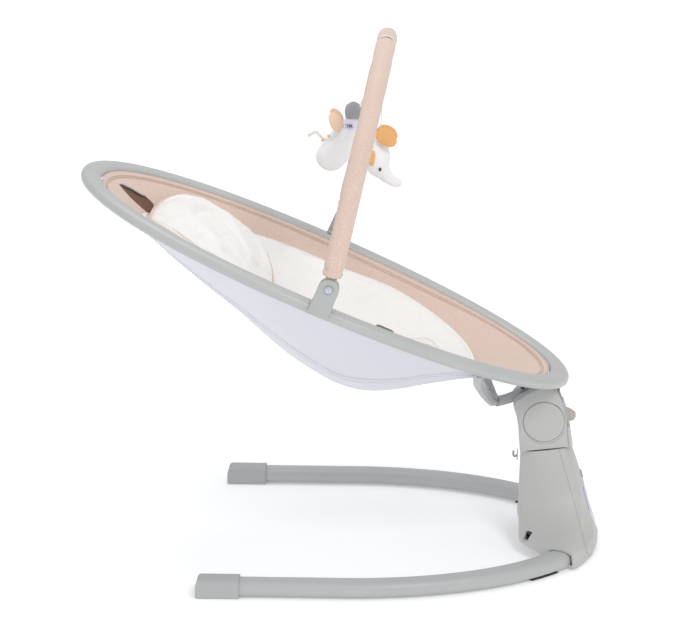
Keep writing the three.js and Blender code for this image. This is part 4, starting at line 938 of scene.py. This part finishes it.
# ---------------------------------------------------------------- toy bar and toys
def sleeve():
    """The padded sleeve: knitted tube, gathered at both hems and pinched by the toys' loops."""
    count = 420
    share = np.linspace(0, 1, count)
    fine = np.linspace(0, math.pi, 4000)
    arch = bar_point(fine)
    steps = np.concatenate([[0], np.cumsum(np.linalg.norm(np.diff(arch, axis=0), axis=1))])
    along = SLEEVE["start"] + share * (steps[-1] - 2 * SLEEVE["start"])
    path = bar_point(np.interp(along, steps, fine))
    from_end = np.minimum(along - along[0], along[-1] - along)
    radius = SLEEVE["radius"] - 2.2 * ridge(from_end - 10, 2.2) - 1.4 * ridge(from_end, 3)
    for y in (-TOYS_Y, TOYS_Y):
        gripped = np.clip(1.6 - np.abs(path[:, 1] - y) / 6, 0, 1)
        radius = radius - (SLEEVE["radius"] - SLEEVE["pinch"]) * gripped
    around = 40
    section = oval(2, 2, around)
    _, side, top = frames_along(path, [math.cos(BAR["tilt"]), 0, -math.sin(BAR["tilt"])])
    outward = section[None, :, 0, None] * side[:, None] + section[None, :, 1, None] * top[:, None]
    angle = np.linspace(0, math.tau, around, endpoint=False)
    coordinates = np.stack(np.broadcast_arrays(
        along[:, None], 14 * np.cos(angle)[None], 14 * np.sin(angle)[None]), -1)
    gathers = 0.8 * np.cos(13 * angle)[None] * ridge(from_end - 8, 7)[:, None]
    wrinkle = wobble(coordinates, (26, 11, 11), 3.3) * 0.55 + wobble(coordinates, (9, 9, 9), 5.5) * 0.2
    seam = -0.7 * ridge(np.minimum(np.abs(angle - 4.6), math.tau - np.abs(angle - 4.6)), 0.07)[None]
    outer = path[:, None] + (radius[:, None] + gathers + np.minimum(wrinkle, 0.6) + seam)[..., None] * outward
    inner = path[:, None] + SLEEVE["bore"] * outward
    body = np.concatenate([outer, inner[::-1]])
    faces = grid_faces(len(body), around, wrap_rows=True, wrap_columns=True)
    made = piece("knit_sleeve", body, faces, "toy_bar", "liner_fabric", replaces=["toy_bar_sleeve"])


def blob(name, balls, body, slot, look=None, replaces=(), voxel=2.2, filled=False):
    """One plush shape from several overlapping rounded lumps, or the taut skin round them if filled."""
    mesh = bmesh.new()
    for x, y, z, rx, ry, rz in balls:
        size = Matrix.Diagonal((rx * MM, ry * MM, rz * MM, 1))
        matrix = Matrix.Translation((x * MM, y * MM, z * MM)) @ size
        bmesh.ops.create_uvsphere(mesh, u_segments=28, v_segments=18, radius=1, matrix=matrix)
    if filled:
        hull = bmesh.ops.convex_hull(mesh, input=mesh.verts)
        inside = [g for g in hull["geom_interior"] + hull["geom_unused"] if isinstance(g, bmesh.types.BMVert)]
        bmesh.ops.delete(mesh, geom=inside, context="VERTS")
    data = bpy.data.meshes.new(name)
    mesh.to_mesh(data)
    mesh.free()
    made = bpy.data.objects.new(name, data)
    bpy.context.scene.collection.objects.link(made)
    add_modifier(made, "REMESH", mode="VOXEL", voxel_size=voxel * MM, use_smooth_shade=True)
    add_modifier(made, "SMOOTH", factor=0.6, iterations=9)
    flat = bpy.data.meshes.new_from_object(made.evaluated_get(bpy.context.evaluated_depsgraph_get()))
    made.modifiers.clear()
    made.data = flat
    flat.name = name
    flat.polygons.foreach_set("use_smooth", [True] * len(flat.polygons))
    flat.materials.clear()
    flat.materials.append(LOOKS[look] if look else FINISH[slot])
    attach(made, body)
    if replaces:
        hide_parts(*replaces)
    return made


def ear(name, base, tip, width, thick, facing, body, look):
    """A flat sewn ear: a leaf from base to tip, cupped a little."""
    base, tip = np.array(base, float), np.array(tip, float)
    count = 26
    share = np.linspace(0, 1, count)
    bend = np.array(facing, float)
    cup = np.sin(math.pi * share) * 0.08 * np.linalg.norm(tip - base)
    path = base + share[:, None] * (tip - base) + cup[:, None] * bend
    leaf = np.sqrt(np.clip(np.sin(math.pi * (0.12 + 0.86 * share)), 0.02, 1))
    made = sweep(name, path, oval(width, thick, 30, 2.2), bend, body, "toy_fabric", scale=leaf, look=look)
    return made


def pony():
    """The near toy: a long-nosed head with a grey tuft, peach ears, closed eyes and a ribbon bridle."""
    y = -TOYS_Y
    blob("pony_plush", [(-17, y, 603, 23, 24, 22), (3, y, 627, 24, 24, 23), (15, y, 648, 14.5, 17, 14.5)],
         "pony", "toy_fabric", replaces=["pony_toy"], filled=True)
    blob("pony_forehead", [(10, y, 645, 16, 20, 9), (15, y, 652, 14.6, 18, 12.5)], "pony", "toy_fabric",
         look="lilac_plush", filled=True)
    tuft = [(16, y, 669, 12, 12, 17)]
    for k in range(9):
        turn = math.tau * k / 9
        tuft.append((16 + 8 * math.cos(turn), y + 8 * math.sin(turn), 667 + 4 * (k % 2), 5.5, 5.5, 12))
    blob("pony_tuft", tuft, "pony", "toy_fabric", look="grey_plush", voxel=1.6)
    for side, hand in ((-1, "near"), (1, "far")):
        base, tip = (-3, y + 14 * side, 645), (-17, y + 22 * side, 671)
        ear(f"pony_{hand}_ear", base, tip, 20, 5, (0.3, 0.9 * side, 0.2), "pony", "peach_plush")
        lid = np.linspace(-1, 1, 9)
        rows = [np.stack([11 + 6.5 * lid, 654.5 - 0.8 * (1 - lid**2)], 1)]
        rows += [np.linspace((11 + 1.5 * k, 654), (11 + 5.5 * k, 646.5 + abs(k)), 5) for k in (-1, 0.15, 1)]
        for row, flat in enumerate(rows):
            depth = 20.2 - 0.012 * (flat[:, 0] - 12) ** 2
            path = np.stack([flat[:, 0], y + side * depth, flat[:, 1]], 1)
            out = np.broadcast_to([0.0, float(side), 0.0], path.shape)
            stitches(
                f"pony_{hand}_eye_{row + 1}", path, out, "pony", "toy_fabric", "dark_thread",
                length=2.6, gap=0.1, radius=0.75,
            )
    ribbon = smooth_path([(-8, y - 21, 641), (-18, y - 24.5, 634), (-28, y - 24, 634), (-38, y - 22, 643),
                          (-50, y - 20, 637)], 40)
    sweep("pony_ribbon", ribbon, oval(5, 1, 16), (0.2, 1, 0.3), "pony", "toy_fabric", look="ribbon")
    for k, (x, z) in enumerate([(-19.5, 638), (-28.5, 631)]):
        blob(f"pony_ribbon_bead_{k + 1}", [(x, y - 25.5, z, 2.4, 1.8, 2.1)], "pony", "toy_fabric",
             look="orange_plush", voxel=0.5)
    sweep("pony_tape_strip", tape_path(y, 21, 668), oval(8, 1.3, 18, 4), (1, 0, 0.4), "pony", "toy_fabric",
          look="ribbon", replaces=["pony_tape"])
    loop("pony_loop", y, "pony")


def elephant():
    """The far toy: a round head with a trunk, orange ears, bead eyes and an orange patch."""
    y = TOYS_Y
    blob("elephant_plush", [
        (49, y, 586, 20, 23, 29), (50, y, 600, 17, 19, 17), (56, y, 566, 14, 14, 12), (64, y, 556, 11, 10, 9),
        (73, y, 550, 9.5, 8.5, 8), (79, y, 548, 8.5, 7.5, 7.5),
    ], "elephant", "toy_fabric", replaces=["elephant_toy"])
    for side, hand in ((-1, "near"), (1, "far")):
        base, tip = (50, y + 13 * side, 629), (77, y + 25 * side, 611)
        ear(f"elephant_{hand}_ear", base, tip, 25, 6, (0.2, side, 0.1), "elephant", "orange_plush")
        blob(f"elephant_{hand}_eye", [(54, y + 20.8 * side, 572, 2.3, 2, 3.1)], "elephant", "toy_fabric",
             look="bead", voxel=0.5)
    patch = [(42, y - 19, 589, 7, 4.5, 13)]
    blob("elephant_patch", patch, "elephant", "toy_fabric", look="orange_plush", voxel=1.2)
    sweep(
        "elephant_tape_strip", tape_path(y, 53, 622), oval(8, 1.3, 18, 4), (1, 0, 0.4), "elephant",
        "toy_fabric", look="ribbon", replaces=["elephant_tape"],
    )
    loop("elephant_loop", y, "elephant")


def button_spring():
    """The recline button's spring, which gets shorter as the button goes in; here a fixed copy of its node in
    steel.
    """
    node = NODES["recline_button_spring"]
    made = node.copy()
    made.data = node.data.copy()
    made.name = "button_spring"
    made.parent = None
    bpy.context.scene.collection.objects.link(made)
    made.data.materials.clear()
    made.data.materials.append(FINISH["steel"])
    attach(made, "swing_head")
    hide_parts(node.name)
    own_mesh(made)


def bar_middle(y):
    rise = BAR["high"] * (1 - (abs(y) / BAR["half"]) ** BAR["power"]) ** (1 / BAR["power"])
    return np.array([BAR["x"] + rise * math.sin(BAR["tilt"]), y, BAR["z"] + rise * math.cos(BAR["tilt"])])


def tape_path(y, x, z):
    start, end = bar_middle(y), np.array([x, y, z], float)
    down = (end - start) / np.linalg.norm(end - start)
    return start + down * 13.5 + np.linspace(0, 1, 12)[:, None] * (end - start - down * 13.5)


def loop(name, y, body):
    """The tape's loop round the sleeve."""
    angle = np.linspace(0, math.tau, 60, endpoint=False)
    section = np.array([[-5, 12.6], [-5, 13.6], [0, 14.0], [5, 13.6], [5, 12.6], [0, 12.5]])
    centre = bar_middle(y)
    points = [
        [centre + [r * math.cos(a), s, r * math.sin(a)] for s, r in section]
        for a in angle
    ]
    faces = grid_faces(60, len(section), wrap_rows=True, wrap_columns=True)
    piece(name, points, faces, body, "toy_fabric", look="ribbon")


# ---------------------------------------------------------------- all of it
for half, start in (("ring_foot_half", -math.pi / 2), ("ring_head_half", math.pi / 2)):
    ring_half(half, start + 0.001, start + math.pi - 0.001)
for side, hand in ((-1, "right"), (1, "left")):
    leg(f"{hand}_base_tube", side)
covers()
seat_pad()
head_pillow()
crotch_tab()
for side, hand in ((-1, "right"), (1, "left")):
    waist_strap(side, hand)
sleeve()
pony()
elephant()
button_spring()
finish_carried()
